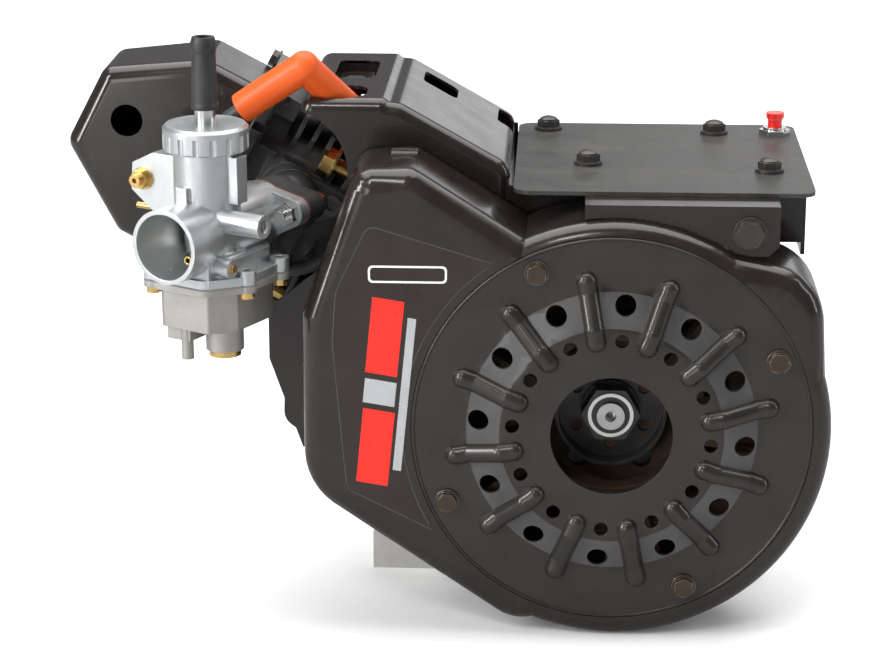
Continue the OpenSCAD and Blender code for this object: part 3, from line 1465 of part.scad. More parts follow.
module idle_speed_screw() {
  color("lightgray") carb_frame() difference() {
    rod_x([16, -6, 8], 3, 19.4);
    box([34.2, -6.5, 4], [36, -5.5, 12]);
  }
}

module slide_spring() {
  color("silver") carb_frame() translate([0, 0, -3.9])
    coil_spring(8, 0.7, 52.9, 9);
}

// Cup-shaped throttle slide with its cutaway and jet needle
module throttle_slide() {
  low = -carb_bore / 2;
  color("lightgray") carb_frame() {
    difference() {
      translate([0, 0, low]) cylinder(r = slide_r, h = 31);
      translate([0, 0, low + 7]) cylinder(r = slide_r - 2, h = 30);
      translate([-12, -12, low - 1]) rotate([8, 0, 0]) cube([24, 12, 2.4]);
    }
    translate([0, 0, -34]) cylinder(r = 1.2, h = 25);
  }
}

// Twin float on its hinge
module float() {
  color("#c8b070") carb_frame() {
    for (sx = [-1, 1]) {
      box([sx * 10.3 - 3.4, -10, -37], [sx * 10.3 + 3.4, 20, -28]);
    }
    difference() {
      union() {
        for (sx = [-1, 1]) box([sx * 7.8 - 0.8, 17, -30.5], [sx * 7.8 + 0.8, 26, -26.5]);
        rod_x([-8.6, 26, -25.6], 2.2, 17.2);
      }
      rod_x([-10, 26, -25.6], 1.05, 20);
    }
  }
}

crankcase();
cylinder_sleeve();
crankcase_cover();
case_and_head_bolts();
bearings_and_seals();
oil_plugs();
head_gasket();
cylinder_head();
rocker_cover_gasket();
rocker_cover();
spark_plug();
spark_plug_boot();
ignition_lead();
ignition_coil();
back_plate();
cylinder_shield();
blower_housing();
shroud_bolts();
fan_cover();
fan_cover_screws();
air_guide();
control_plate();
plate_bracket();
control_plate_bolts();
stop_switch();
intake_manifold();
manifold_bolts();
insulator_block();
carb_gasket();
carb_body();
carb_studs();
carb_cap();
cable_adjuster();
adjuster_boot();
float_bowl();
bowl_gasket();
bowl_screws();
carb_brass_parts();
idle_speed_screw();
intake_valve_spring();
exhaust_valve_spring();
slide_spring();
rocker_shaft();
crankshaft();
flywheel();
flywheel_nut();
camshaft();
piston();
piston_rings();
connecting_rod();
rod_pins();
intake_pushrod();
exhaust_pushrod();
intake_rocker();
exhaust_rocker();
intake_valve();
exhaust_valve();
throttle_slide();
float();
stop_button();
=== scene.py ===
"""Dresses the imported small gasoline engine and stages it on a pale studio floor."""

import logging
import math
from dataclasses import dataclass
from enum import Enum

import bmesh
import bpy
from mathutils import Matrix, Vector


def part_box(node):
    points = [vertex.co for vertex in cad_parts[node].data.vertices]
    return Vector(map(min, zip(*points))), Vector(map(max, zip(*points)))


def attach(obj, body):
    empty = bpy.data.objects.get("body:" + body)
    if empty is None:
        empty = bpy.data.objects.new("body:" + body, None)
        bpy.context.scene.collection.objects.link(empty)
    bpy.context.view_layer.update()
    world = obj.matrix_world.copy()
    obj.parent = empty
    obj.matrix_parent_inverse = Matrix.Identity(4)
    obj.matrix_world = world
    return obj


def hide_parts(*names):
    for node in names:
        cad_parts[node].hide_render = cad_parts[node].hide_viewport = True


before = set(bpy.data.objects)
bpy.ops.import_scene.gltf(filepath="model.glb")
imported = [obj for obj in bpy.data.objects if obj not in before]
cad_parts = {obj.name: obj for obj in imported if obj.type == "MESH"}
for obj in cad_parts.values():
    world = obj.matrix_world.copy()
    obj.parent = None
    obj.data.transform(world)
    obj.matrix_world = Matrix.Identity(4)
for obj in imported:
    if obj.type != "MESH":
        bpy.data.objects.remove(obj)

LOG = logging.getLogger("engine")
MM = 0.001

BEVEL_SAMPLES = 4
TONE_LOW, TONE_HIGH = 0.3, 0.7
DIRT_SCALE = 38.0
DIRT_ROUGHER = 0.3
DIRT_METAL_LEFT = 0.5
WEAR_REACH = 1.6
WORN_ROUGHNESS = 0.34
WORN_METAL = 1.0

Mesh = bmesh.types.BMesh
Piece = bpy.types.Object
Tree = bpy.types.NodeTree
Pair = tuple[float, float]
Triple = tuple[float, float, float]
Plan = tuple[float, float, float, float]
Color = Triple


class Grain(Enum):
    """Relief of a surface too fine to model."""

    PEEL = "peel"
    CAST = "cast"
    TURNED = "turned"
    PEBBLE = "pebble"
    MOULDED = "moulded"


class Axis(Enum):
    """Direction in which a prism runs, as the place of its coordinate."""

    X = 0
    Y = 1
    Z = 2


# ---- shader helpers


class Graph:
    """Places nodes in one tree and joins their sockets."""

    def __init__(self, tree: Tree) -> None:
        """Works in the given tree."""
        self.tree = tree

    def add(self, kind: str, **settings: object) -> bpy.types.Node:
        """Adds a node.

        Args:
            kind: Blender's node type without its ShaderNode prefix.
            settings: Properties to set on the node.

        Returns:
            The new node.
        """
        prefix = "" if kind.startswith("Node") else "ShaderNode"
        node = self.tree.nodes.new(prefix + kind)
        for name, value in settings.items():
            setattr(node, name, value)
        return node

    def feed(self, socket: bpy.types.NodeSocket, value: object) -> None:
        """Joins an output to a socket, or sets the socket's own value."""
        if isinstance(value, bpy.types.NodeSocket):
            self.tree.links.new(value, socket)
        elif isinstance(value, tuple) and len(value) == 3 and socket.type == "RGBA":
            socket.default_value = (*value, 1.0)
        else:
            socket.default_value = value

    def value(
        self, kind: str, inputs: dict[object, object], output: object = 0, **settings: object
    ) -> object:
        """Adds a node, feeds its inputs by name or number, and returns one of its outputs."""
        node = self.add(kind, **settings)
        for key, value in inputs.items():
            self.feed(node.inputs[key], value)
        return node.outputs[output]

    def noise(
        self, vector: object, scale: object, detail: float = 3.0, rough: float = 0.5
    ) -> object:
        """Returns the value output of a noise texture."""
        inputs = {"Vector": vector, "Scale": scale, "Detail": detail, "Roughness": rough}
        return self.value("TexNoise", inputs)

    def cells(self, vector: object, scale: object, smoothness: float = 0.6) -> object:
        """Returns the distance output of a smooth Voronoi texture."""
        inputs = {"Vector": vector, "Scale": scale, "Smoothness": smoothness}
        return self.value("TexVoronoi", inputs, "Distance", feature="SMOOTH_F1")

    def math(
        self, operation: str, first: object, second: object = 0.0, clamp: bool = False
    ) -> object:
        """Returns one arithmetic step on two values."""
        return self.value("Math", {0: first, 1: second}, operation=operation, use_clamp=clamp)

    def vector(
        self, operation: str, first: object, second: object = (0.0, 0.0, 0.0), output: str = "Value"
    ) -> object:
        """Returns one step on two vectors."""
        return self.value("VectorMath", {0: first, 1: second}, output, operation=operation)

    def remap(
        self, value: object, low: float, high: float, to_low: object = 0.0, to_high: object = 1.0
    ) -> object:
        """Returns a value stretched from one range to another, held at both ends."""
        inputs = {"Value": value, "From Min": low, "From Max": high}
        inputs |= {"To Min": to_low, "To Max": to_high}
        return self.value("MapRange", inputs, "Result")

    def blend(self, factor: object, first: object, second: object) -> object:
        """Returns a colour between two colours."""
        return self.value("Mix", {0: factor, 6: first, 7: second}, 2, data_type="RGBA")

    def mix(self, factor: object, first: object, second: object) -> object:
        """Returns a value between two values."""
        return self.value("Mix", {0: factor, 2: first, 3: second}, data_type="FLOAT")

    def place(self, group: Tree, **values: object) -> bpy.types.bpy_prop_collection:
        """Places a group, feeds its named inputs and returns its outputs."""
        node = self.add("Group", node_tree=group)
        for name, value in values.items():
            self.feed(node.inputs[name], value)
        return node.outputs


class EffectGroups:
    """The effects that many finishes share, each a node group built once."""

    def __init__(self) -> None:
        """Builds every group."""
        self.wear = self._edge_wear()
        self.grime = self._grime()
        self.grains = {grain: self._grain(grain) for grain in Grain}

    @staticmethod
    def _new(name: str, inputs: tuple[str, ...], outputs: tuple[str, ...]) -> tuple:
        """Starts a group with a vector input and some values.

        Args:
            name: The group's name.
            inputs: Names of the input values.
            outputs: Names of the output values.

        Returns:
            The group, a Graph in it, its input node and its output node.
        """
        tree = bpy.data.node_groups.new(name, "ShaderNodeTree")
        new_socket = tree.interface.new_socket
        new_socket(name="Vector", in_out="INPUT", socket_type="NodeSocketVector")
        for way, labels in (("INPUT", inputs), ("OUTPUT", outputs)):
            for label in labels:
                new_socket(name=label, in_out=way, socket_type="NodeSocketFloat")
        graph = Graph(tree)
        return tree, graph, graph.add("NodeGroupInput"), graph.add("NodeGroupOutput")

    def _edge_wear(self) -> Tree:
        """Builds the mask of rubbed edges, broken up by noise."""
        tree, graph, source, sink = self._new("edge_wear", ("Radius", "Amount"), ("Mask",))
        radius = {"Radius": source.outputs["Radius"]}
        rounded = graph.value("Bevel", radius, "Normal", samples=BEVEL_SAMPLES)
        flat = graph.value("NewGeometry", {}, "Normal")
        edge = graph.math("SUBTRACT", 1.0, graph.vector("DOT_PRODUCT", rounded, flat))
        breakup = graph.noise(source.outputs["Vector"], scale=260.0, detail=4.0, rough=0.6)
        speck = graph.remap(breakup, low=0.42, high=0.62)
        rubbed = graph.math("MULTIPLY", graph.remap(edge, low=0.02, high=0.14), speck)
        mask = graph.math("MULTIPLY", rubbed, source.outputs["Amount"], True)
        graph.feed(sink.inputs["Mask"], mask)
        return tree

    def _grime(self) -> Tree:
        """Builds the mask of dust and oil film, thicker on what faces up."""
        tree, graph, source, sink = self._new("grime", ("Scale", "Amount"), ("Mask",))
        vector = source.outputs["Vector"]
        patches = graph.noise(vector, source.outputs["Scale"], detail=6.0, rough=0.62)
        specks = graph.noise(vector, scale=900.0, detail=2.0)
        normal = graph.value("NewGeometry", {}, "Normal")
        facing = graph.value("SeparateXYZ", {0: normal}, "Z")
        up = graph.remap(facing, low=-0.2, high=1.0, to_low=0.35)
        cloud = graph.remap(patches, low=0.45, high=0.72)
        dust = graph.math("ADD", cloud, graph.remap(specks, low=0.62, high=0.74, to_high=0.6))
        lying = graph.math("MULTIPLY", dust, up)
        mask = graph.math("MULTIPLY", lying, source.outputs["Amount"], True)
        graph.feed(sink.inputs["Mask"], mask)
        return tree

    def _grain(self, grain: Grain) -> Tree:
        """Builds one relief: its height, and a slow tone that varies the colour."""
        tree, graph, source, sink = self._new(
            "grain_" + grain.value, ("Scale",), ("Height", "Tone")
        )
        vector, scale = source.outputs["Vector"], source.outputs["Scale"]
        if grain is Grain.PEEL:
            height = graph.noise(vector, scale, detail=1.0, rough=0.4)
        elif grain is Grain.CAST:
            pits = graph.remap(graph.cells(vector, scale), low=0.0, high=0.35)
            sand = graph.noise(vector, scale, detail=5.0, rough=0.7)
            height = graph.mix(0.55, pits, sand)
        elif grain is Grain.TURNED:
            stretched = graph.value("Mapping", {"Vector": vector, "Scale": (1.0, 14.0, 1.0)})
            height = graph.noise(stretched, scale, detail=4.0, rough=0.7)
        elif grain is Grain.PEBBLE:
            height = graph.math("SUBTRACT", 1.0, graph.cells(vector, scale))
        else:
            height = graph.noise(vector, scale, detail=2.0)
        graph.feed(sink.inputs["Height"], height)
        graph.feed(sink.inputs["Tone"], graph.noise(vector, scale=55.0, detail=5.0, rough=0.6))
        return tree


@dataclass(frozen=True)
class Zone:
    """Part of a node with a finish of its own: a length of a tube or cone, in metres."""

    origin: Triple
    axis: Triple
    low: float = -1.0
    high: float = 1.0
    inner: float = -1.0
    outer: float = 1.0
    slope: float = 0.0

    def mask(self, graph: Graph, vector: object) -> object:
        """Builds the mask that is 1 inside the zone and 0 outside it.

        Args:
            graph: The material's graph.
            vector: The point's place in the frame.

        Returns:
            The mask's socket.
        """
        offset = graph.vector("SUBTRACT", vector, self.origin, "Vector")
        along = graph.vector("DOT_PRODUCT", offset, self.axis)
        square = graph.vector("DOT_PRODUCT", offset, offset)
        across = graph.math("SUBTRACT", square, graph.math("MULTIPLY", along, along))
        radius = graph.math("SQRT", graph.math("MAXIMUM", across, 0.0))
        rise = graph.math("MULTIPLY", graph.math("SUBTRACT", radius, self.inner), self.slope)
        level = graph.math("SUBTRACT", along, rise) if self.slope else along
        result = graph.math("GREATER_THAN", radius, self.inner)
        for test, limit, value in (
            ("LESS_THAN", self.outer, radius),
            ("GREATER_THAN", self.low, level),
            ("LESS_THAN", self.high, level),
        ):
            result = graph.math("MULTIPLY", result, graph.math(test, value, limit))
        return result


@dataclass(frozen=True)
class Finish:
    """One surface finish: its colours, gloss, relief, wear and dirt."""

    name: str
    color: Color
    tone: Color
    gloss: Pair
    grain: Grain
    grain_scale: float
    relief: float
    metallic: float = 0.0
    coat: float = 0.0
    coat_roughness: float = 0.08
    specular: float = 0.5
    edge: float = 0.4
    wear: float = 0.0
    wear_color: Color = (0.55, 0.55, 0.54)
    dirt: float = 0.25
    dirt_color: Color = (0.16, 0.14, 0.12)

    def layers(self, graph: Graph, groups: EffectGroups, vector: object) -> tuple:
        """Builds this finish's own colour, roughness, metal and height.

        Args:
            graph: The material's graph.
            groups: The shared effects.
            vector: The point's place in the frame.

        Returns:
            The four sockets or values.
        """
        relief = graph.place(groups.grains[self.grain], Vector=vector, Scale=self.grain_scale)
        grime = graph.place(groups.grime, Vector=vector, Scale=DIRT_SCALE, Amount=self.dirt)
        dirty = grime["Mask"]
        tone = graph.remap(relief["Tone"], TONE_LOW, TONE_HIGH)
        color = graph.blend(tone, self.color, self.tone)
        color = graph.blend(dirty, color, self.dirt_color)
        rough = graph.remap(relief["Tone"], TONE_LOW, TONE_HIGH, *self.gloss)
        rough = graph.mix(dirty, rough, min(1.0, self.gloss[1] + DIRT_ROUGHER))
        metal = graph.mix(dirty, self.metallic, self.metallic * DIRT_METAL_LEFT)
        if self.wear > 0.0:
            reach = self.edge * WEAR_REACH * MM
            worn = graph.place(groups.wear, Vector=vector, Radius=reach, Amount=self.wear)["Mask"]
            color = graph.blend(worn, color, self.wear_color)
            rough = graph.mix(worn, rough, WORN_ROUGHNESS)
            metal = graph.mix(worn, metal, WORN_METAL)
        return color, rough, metal, relief["Height"]

    def material(
        self, groups: EffectGroups, zone: Zone | None = None, other: "Finish | None" = None
    ) -> bpy.types.Material:
        """Builds the material, with another finish inside a zone if one is given.

        Args:
            groups: The shared effects.
            zone: Where the other finish shows.
            other: The finish inside the zone.

        Returns:
            The new material.
        """
        name = self.name if other is None else f"{self.name}_with_{other.name}"
        made = bpy.data.materials.new(name)
        made.use_nodes = True
        made.diffuse_color = (*self.color, 1.0)
        made.node_tree.nodes.clear()
        graph = Graph(made.node_tree)
        vector = graph.value("TexCoord", {}, "Object")
        color, rough, metal, height = self.layers(graph, groups, vector)
        if zone is not None and other is not None:
            inside = zone.mask(graph, vector)
            second = other.layers(graph, groups, vector)
            color = graph.blend(inside, color, second[0])
            rough, metal, height = (
                graph.mix(inside, one, two) for one, two in zip((rough, metal, height), second[1:])
            )
        radius = {"Radius": self.edge * MM}
        rounded = graph.value("Bevel", radius, "Normal", samples=BEVEL_SAMPLES)
        relief = {"Height": height, "Distance": self.relief * MM, "Normal": rounded}
        look = {
            "Base Color": color, "Roughness": rough, "Metallic": metal,
            "Normal": graph.value("Bump", relief, "Normal"), "Coat Weight": self.coat,
            "Specular IOR Level": self.specular, "Coat Roughness": self.coat_roughness,
        }
        surface = graph.value("BsdfPrincipled", look)
        graph.feed(graph.add("OutputMaterial").inputs["Surface"], surface)
        return made


GLOSS_BLACK = Finish(
    "gloss_black_paint", (0.011, 0.0075, 0.006), (0.016, 0.0115, 0.0095), (0.2, 0.3), Grain.PEEL,
    420.0, 0.004, coat=0.35, specular=0.35, edge=0.5, dirt=0.1, dirt_color=(0.035, 0.028, 0.023),
)
PANEL_BLACK = Finish(
    "satin_black_panel", (0.014, 0.0105, 0.009), (0.02, 0.0155, 0.0135), (0.26, 0.36), Grain.PEEL,
    700.0, 0.008, coat=0.3, coat_roughness=0.14, specular=0.35, edge=0.8, dirt=0.15,
    dirt_color=(0.045, 0.037, 0.032),
)
BAND_BLACK = Finish(
    "textured_black_band", (0.04, 0.039, 0.038), (0.062, 0.06, 0.058), (0.46, 0.58), Grain.PEBBLE,
    1500.0, 0.05, dirt=0.1, dirt_color=(0.06, 0.055, 0.05),
)
PEBBLE_BLACK = Finish(
    "pebbled_black_plate", (0.028, 0.028, 0.026), (0.045, 0.043, 0.04), (0.34, 0.48), Grain.PEBBLE,
    900.0, 0.1, edge=0.3, wear=0.3, wear_color=(0.3, 0.3, 0.29), dirt=0.2,
    dirt_color=(0.12, 0.11, 0.1),
)
BLACK_CASTING = Finish(
    "black_painted_casting", (0.016, 0.016, 0.016), (0.035, 0.034, 0.033), (0.34, 0.55), Grain.CAST,
    650.0, 0.16, edge=0.5, wear=0.15, dirt=0.3, dirt_color=(0.07, 0.062, 0.055),
)
CASE_ALUMINIUM = Finish(
    "cast_aluminium", (0.66, 0.65, 0.62), (0.54, 0.53, 0.5), (0.38, 0.55), Grain.CAST, 700.0, 0.14,
    metallic=0.7, edge=0.6, wear=0.5, wear_color=(0.8, 0.8, 0.79), dirt=0.3,
    dirt_color=(0.17, 0.15, 0.125),
)
CARB_ZINC = Finish(
    "carburettor_zinc", (0.58, 0.605, 0.61), (0.47, 0.49, 0.495), (0.26, 0.42), Grain.CAST, 1100.0,
    0.055, metallic=0.9, edge=0.5, wear=0.6, wear_color=(0.85, 0.87, 0.88), dirt=0.25,
    dirt_color=(0.28, 0.28, 0.28),
)
BOWL_ZINC = Finish(
    "float_bowl_zinc", (0.4, 0.385, 0.36), (0.31, 0.3, 0.285), (0.42, 0.55), Grain.CAST, 900.0,
    0.08, metallic=0.8, edge=0.5, wear=0.4, wear_color=(0.62, 0.61, 0.6), dirt=0.3,
    dirt_color=(0.2, 0.185, 0.165),
)
STEEL = Finish(
    "machined_steel", (0.56, 0.56, 0.55), (0.44, 0.44, 0.43), (0.22, 0.36), Grain.TURNED, 500.0,
    0.02, metallic=1.0, edge=0.3, wear=0.3, wear_color=(0.8, 0.8, 0.8), dirt=0.2,
    dirt_color=(0.2, 0.17, 0.14),
)
BRIGHT = Finish(
    "bright_plating", (0.7, 0.7, 0.68), (0.58, 0.58, 0.57), (0.12, 0.24), Grain.TURNED, 700.0,
    0.012, metallic=1.0, edge=0.3, wear=0.2, wear_color=(0.9, 0.9, 0.9), dirt=0.15,
    dirt_color=(0.25, 0.23, 0.2),
)
YELLOW_ZINC = Finish(
    "yellow_zinc_plating", (0.55, 0.37, 0.12), (0.42, 0.3, 0.11), (0.2, 0.34), Grain.TURNED, 700.0,
    0.012, metallic=1.0, edge=0.3, wear=0.2, wear_color=(0.75, 0.68, 0.5), dirt=0.25,
    dirt_color=(0.2, 0.14, 0.08),
)
BRONZED = Finish(
    "bronzed_steel", (0.06, 0.047, 0.036), (0.085, 0.066, 0.048), (0.26, 0.4), Grain.TURNED, 600.0,
    0.02, metallic=0.85, wear=0.9, wear_color=(0.55, 0.51, 0.44), dirt=0.3,
    dirt_color=(0.07, 0.05, 0.035),
)
BLACK_STEEL = Finish(
    "black_oxide_steel", (0.035, 0.034, 0.033), (0.055, 0.05, 0.047), (0.3, 0.42), Grain.TURNED,
    600.0, 0.03, metallic=0.45, edge=0.3, wear=0.55, wear_color=(0.3, 0.29, 0.28), dirt=0.25,
    dirt_color=(0.1, 0.075, 0.055),
)
RUSTY_IRON = Finish(
    "rusty_cast_iron", (0.1, 0.062, 0.042), (0.045, 0.036, 0.032), (0.5, 0.75), Grain.CAST, 500.0,
    0.22, metallic=0.4, edge=0.5, wear=0.5, wear_color=(0.32, 0.29, 0.27), dirt=0.6,
    dirt_color=(0.19, 0.085, 0.035),
)
GREY_IRON = Finish(
    "machined_cast_iron", (0.24, 0.24, 0.24), (0.17, 0.17, 0.17), (0.32, 0.5), Grain.TURNED, 400.0,
    0.04, metallic=0.9, wear=0.4, dirt=0.3,
)
BRASS = Finish(
    "brass", (0.72, 0.5, 0.19), (0.6, 0.4, 0.14), (0.16, 0.3), Grain.TURNED, 800.0, 0.012,
    metallic=1.0, edge=0.25, wear=0.3, wear_color=(0.9, 0.75, 0.45), dirt=0.25,
    dirt_color=(0.22, 0.13, 0.05),
)
GREY_GASKET = Finish(
    "grey_gasket", (0.11, 0.11, 0.11), (0.16, 0.16, 0.155), (0.6, 0.75), Grain.CAST, 1500.0, 0.04,
    edge=0.1,
)
RED_GASKET = Finish(
    "red_gasket", (0.22, 0.022, 0.018), (0.15, 0.018, 0.015), (0.5, 0.7), Grain.CAST, 1500.0, 0.04,
    edge=0.1,
)
BLACK_PLASTIC = Finish(
    "black_moulded_plastic", (0.014, 0.014, 0.014), (0.022, 0.022, 0.022), (0.4, 0.55),
    Grain.MOULDED, 1200.0, 0.03, dirt=0.3, dirt_color=(0.06, 0.055, 0.05),
)
RED_PLASTIC = Finish(
    "red_button_plastic", (0.8, 0.02, 0.014), (0.7, 0.016, 0.012), (0.2, 0.3), Grain.MOULDED, 900.0,
    0.01, coat=0.3, specular=0.35, edge=0.5, dirt=0.08, dirt_color=(0.35, 0.03, 0.025),
)
ORANGE_SILICONE = Finish(
    "orange_silicone", (0.7, 0.1, 0.013), (0.62, 0.08, 0.01), (0.36, 0.46), Grain.MOULDED, 1400.0,
    0.025, specular=0.3, edge=0.8, dirt=0.12, dirt_color=(0.45, 0.07, 0.012),
)
BLACK_RUBBER = Finish(
    "black_rubber", (0.012, 0.012, 0.013), (0.02, 0.02, 0.021), (0.42, 0.58), Grain.MOULDED, 1300.0,
    0.03, edge=0.5, dirt=0.3, dirt_color=(0.06, 0.055, 0.052),
)
LEAD_RUBBER = Finish(
    "ignition_lead_rubber", (0.022, 0.024, 0.026), (0.034, 0.036, 0.038), (0.36, 0.5),
    Grain.MOULDED, 1300.0, 0.02, dirt=0.3, dirt_color=(0.07, 0.065, 0.06),
)
RESIN = Finish(
    "float_resin", (0.12, 0.08, 0.04), (0.17, 0.12, 0.06), (0.45, 0.6), Grain.MOULDED, 900.0, 0.03,
    edge=0.5,
)
CERAMIC = Finish(
    "plug_ceramic", (0.82, 0.8, 0.76), (0.76, 0.74, 0.7), (0.12, 0.2), Grain.MOULDED, 600.0, 0.008,
    coat=0.5, dirt=0.1,
)
DECAL_RED = Finish(
    "decal_red", (0.82, 0.022, 0.012), (0.76, 0.018, 0.01), (0.2, 0.3), Grain.PEEL, 420.0, 0.008,
    coat=0.1, specular=0.25, edge=0.05, dirt=0.05, dirt_color=(0.35, 0.02, 0.015),
)
DECAL_SILVER = Finish(
    "decal_silver", (0.5, 0.51, 0.52), (0.42, 0.43, 0.44), (0.22, 0.3), Grain.PEEL, 420.0, 0.008,
    metallic=0.5, coat=0.1, specular=0.3, edge=0.05, dirt=0.04, dirt_color=(0.3, 0.3, 0.3),
)
DECAL_WHITE = Finish(
    "decal_white", (0.72, 0.72, 0.72), (0.66, 0.66, 0.66), (0.2, 0.28), Grain.PEEL, 420.0, 0.008,
    coat=0.5, edge=0.05, dirt=0.06,
)
DECAL_FILM = Finish(
    "decal_clear_edge", (0.018, 0.013, 0.011), (0.024, 0.018, 0.015), (0.26, 0.34), Grain.PEEL,
    420.0, 0.01, coat=0.25, specular=0.24, edge=0.05, dirt=0.08, dirt_color=(0.05, 0.04, 0.034),
)
DECAL_EDGE = Finish(
    "decal_film_edge", (0.1, 0.095, 0.09), (0.05, 0.045, 0.042), (0.3, 0.5), Grain.PEEL, 900.0,
    0.01, edge=0.05,
)


# ---- mesh helpers


def smooth_with_edges(piece: Piece, angle: float = 38.0, weld: float = 0.00001) -> None:
    """Shades a piece smooth over its gentle bends and keeps its real edges.

    Args:
        piece: The object, whose points stay as they are.
        angle: The bend, in degrees, from which an edge counts as real.
        weld: How near two points are joined, in metres.
    """
    piece.data.shade_smooth()
    piece.modifiers.new("weld", "WELD").merge_threshold = weld
    edges = piece.modifiers.new("edges", "EDGE_SPLIT")
    edges.split_angle = math.radians(angle)
    edges.use_edge_sharp = False
    piece.modifiers.new("normals", "WEIGHTED_NORMAL")


def rounded_line(corners: list[Triple], closed: bool, steps: int = 8) -> list[Vector]:
    """Rounds the corners of an outline.

    Args:
        corners: Each corner's two coordinates and its radius, in millimetres.
        closed: Whether the last corner joins the first.
        steps: Points on each rounded corner.

    Returns:
        The outline's points.
    """
    points = []
    for index, (x, z, radius) in enumerate(corners):
        here = Vector((x, z))
        if radius == 0.0 or (not closed and index in (0, len(corners) - 1)):
            points.append(here)
            continue
        before = Vector(corners[index - 1][:2]) - here
        after = Vector(corners[(index + 1) % len(corners)][:2]) - here
        half = before.angle(after) / 2
        reach = radius / math.tan(half)
        first, last = before.normalized() * reach, after.normalized() * reach
        middle = (first + last).normalized() * (radius / math.sin(half))
        for step in range(steps + 1):
            arm = (first - middle).slerp(last - middle, step / steps)
            points.append(here + middle + arm.normalized() * radius)
    return points


def rounded_box(low: Pair, high: Pair, radius: float, steps: int = 8) -> list[Vector]:
    """Returns the outline of a box whose corners all have one radius."""
    (x0, y0), (x1, y1) = low, high
    corners = [(x0, y0, radius), (x1, y0, radius), (x1, y1, radius), (x0, y1, radius)]
    return rounded_line(corners, True, steps)


def grown(outline: list[Vector], by: float) -> list[Vector]:
    """Returns a closed outline, drawn counter-clockwise, moved outward by a distance."""
    result = []
    for index, point in enumerate(outline):
        along = (outline[(index + 1) % len(outline)] - outline[index - 1]).normalized()
        result.append(point + Vector((along.y, -along.x)) * by)
    return result


def arc(centre: Pair, radius: float, start: float, stop: float, steps: int) -> list[Vector]:
    """Returns points along an arc, from one angle to another in degrees, both ends included."""
    turns = [math.radians(start + (stop - start) * step / steps) for step in range(steps + 1)]
    return [Vector(centre) + Vector((math.cos(turn), math.sin(turn))) * radius for turn in turns]


def bridge(mesh: Mesh, first: list, second: list, closed: bool) -> None:
    """Joins two equal rows of points with a band of faces."""
    for index in range(len(first) if closed else len(first) - 1):
        after = (index + 1) % len(first)
        mesh.faces.new((first[index], first[after], second[after], second[index]))


def prism(outline: list[Vector], low: float, high: float, axis: Axis) -> Mesh:
    """Builds a closed prism.

    Args:
        outline: Its outline across the axis, in millimetres.
        low: Where it starts along its axis.
        high: Where it ends.
        axis: The axis along which it runs.

    Returns:
        The prism as a new mesh.
    """
    mesh = bmesh.new()
    rings = []
    for level in (low, high):
        places = [[point.x, point.y] for point in outline]
        for place in places:
            place.insert(axis.value, level)
        rings.append([mesh.verts.new(Vector(place) * MM) for place in places])
    mesh.faces.new(rings[0])
    mesh.faces.new(rings[1][::-1])
    bridge(mesh, rings[0], rings[1], True)
    bmesh.ops.recalc_face_normals(mesh, faces=mesh.faces)
    return mesh


def as_object(mesh: Mesh, name: str) -> Piece:
    """Turns a mesh into an object of the scene, and frees the mesh."""
    data = bpy.data.meshes.new(name)
    mesh.to_mesh(data)
    mesh.free()
    piece = bpy.data.objects.new(name, data)
    bpy.context.collection.objects.link(piece)
    return piece


def settle(piece: Piece) -> None:
    """Applies a piece's modifiers to its mesh."""
    depsgraph = bpy.context.evaluated_depsgraph_get()
    made = bpy.data.meshes.new_from_object(piece.evaluated_get(depsgraph), depsgraph=depsgraph)
    piece.modifiers.clear()
    old = piece.data
    piece.data = made
    bpy.data.meshes.remove(old)


def discard(piece: Piece) -> None:
    """Removes an object and its mesh."""
    data = piece.data
    bpy.data.objects.remove(piece)
    bpy.data.meshes.remove(data)


def join(piece: Piece, other: Piece) -> None:
    """Adds another object's mesh to a piece and removes that object."""
    mesh = bmesh.new()
    mesh.from_mesh(piece.data)
    mesh.from_mesh(other.data)
    mesh.to_mesh(piece.data)
    mesh.free()
    discard(other)


def cut(piece: Piece, cutters: list[Mesh]) -> None:
    """Cuts closed meshes out of a piece, and frees them."""
    for mesh in cutters:
        tool = as_object(mesh, "cutter")
        boolean = piece.modifiers.new("cut", "BOOLEAN")
        boolean.operation = "DIFFERENCE"
        boolean.object = tool
        settle(piece)
        discard(tool)


# ---- engine


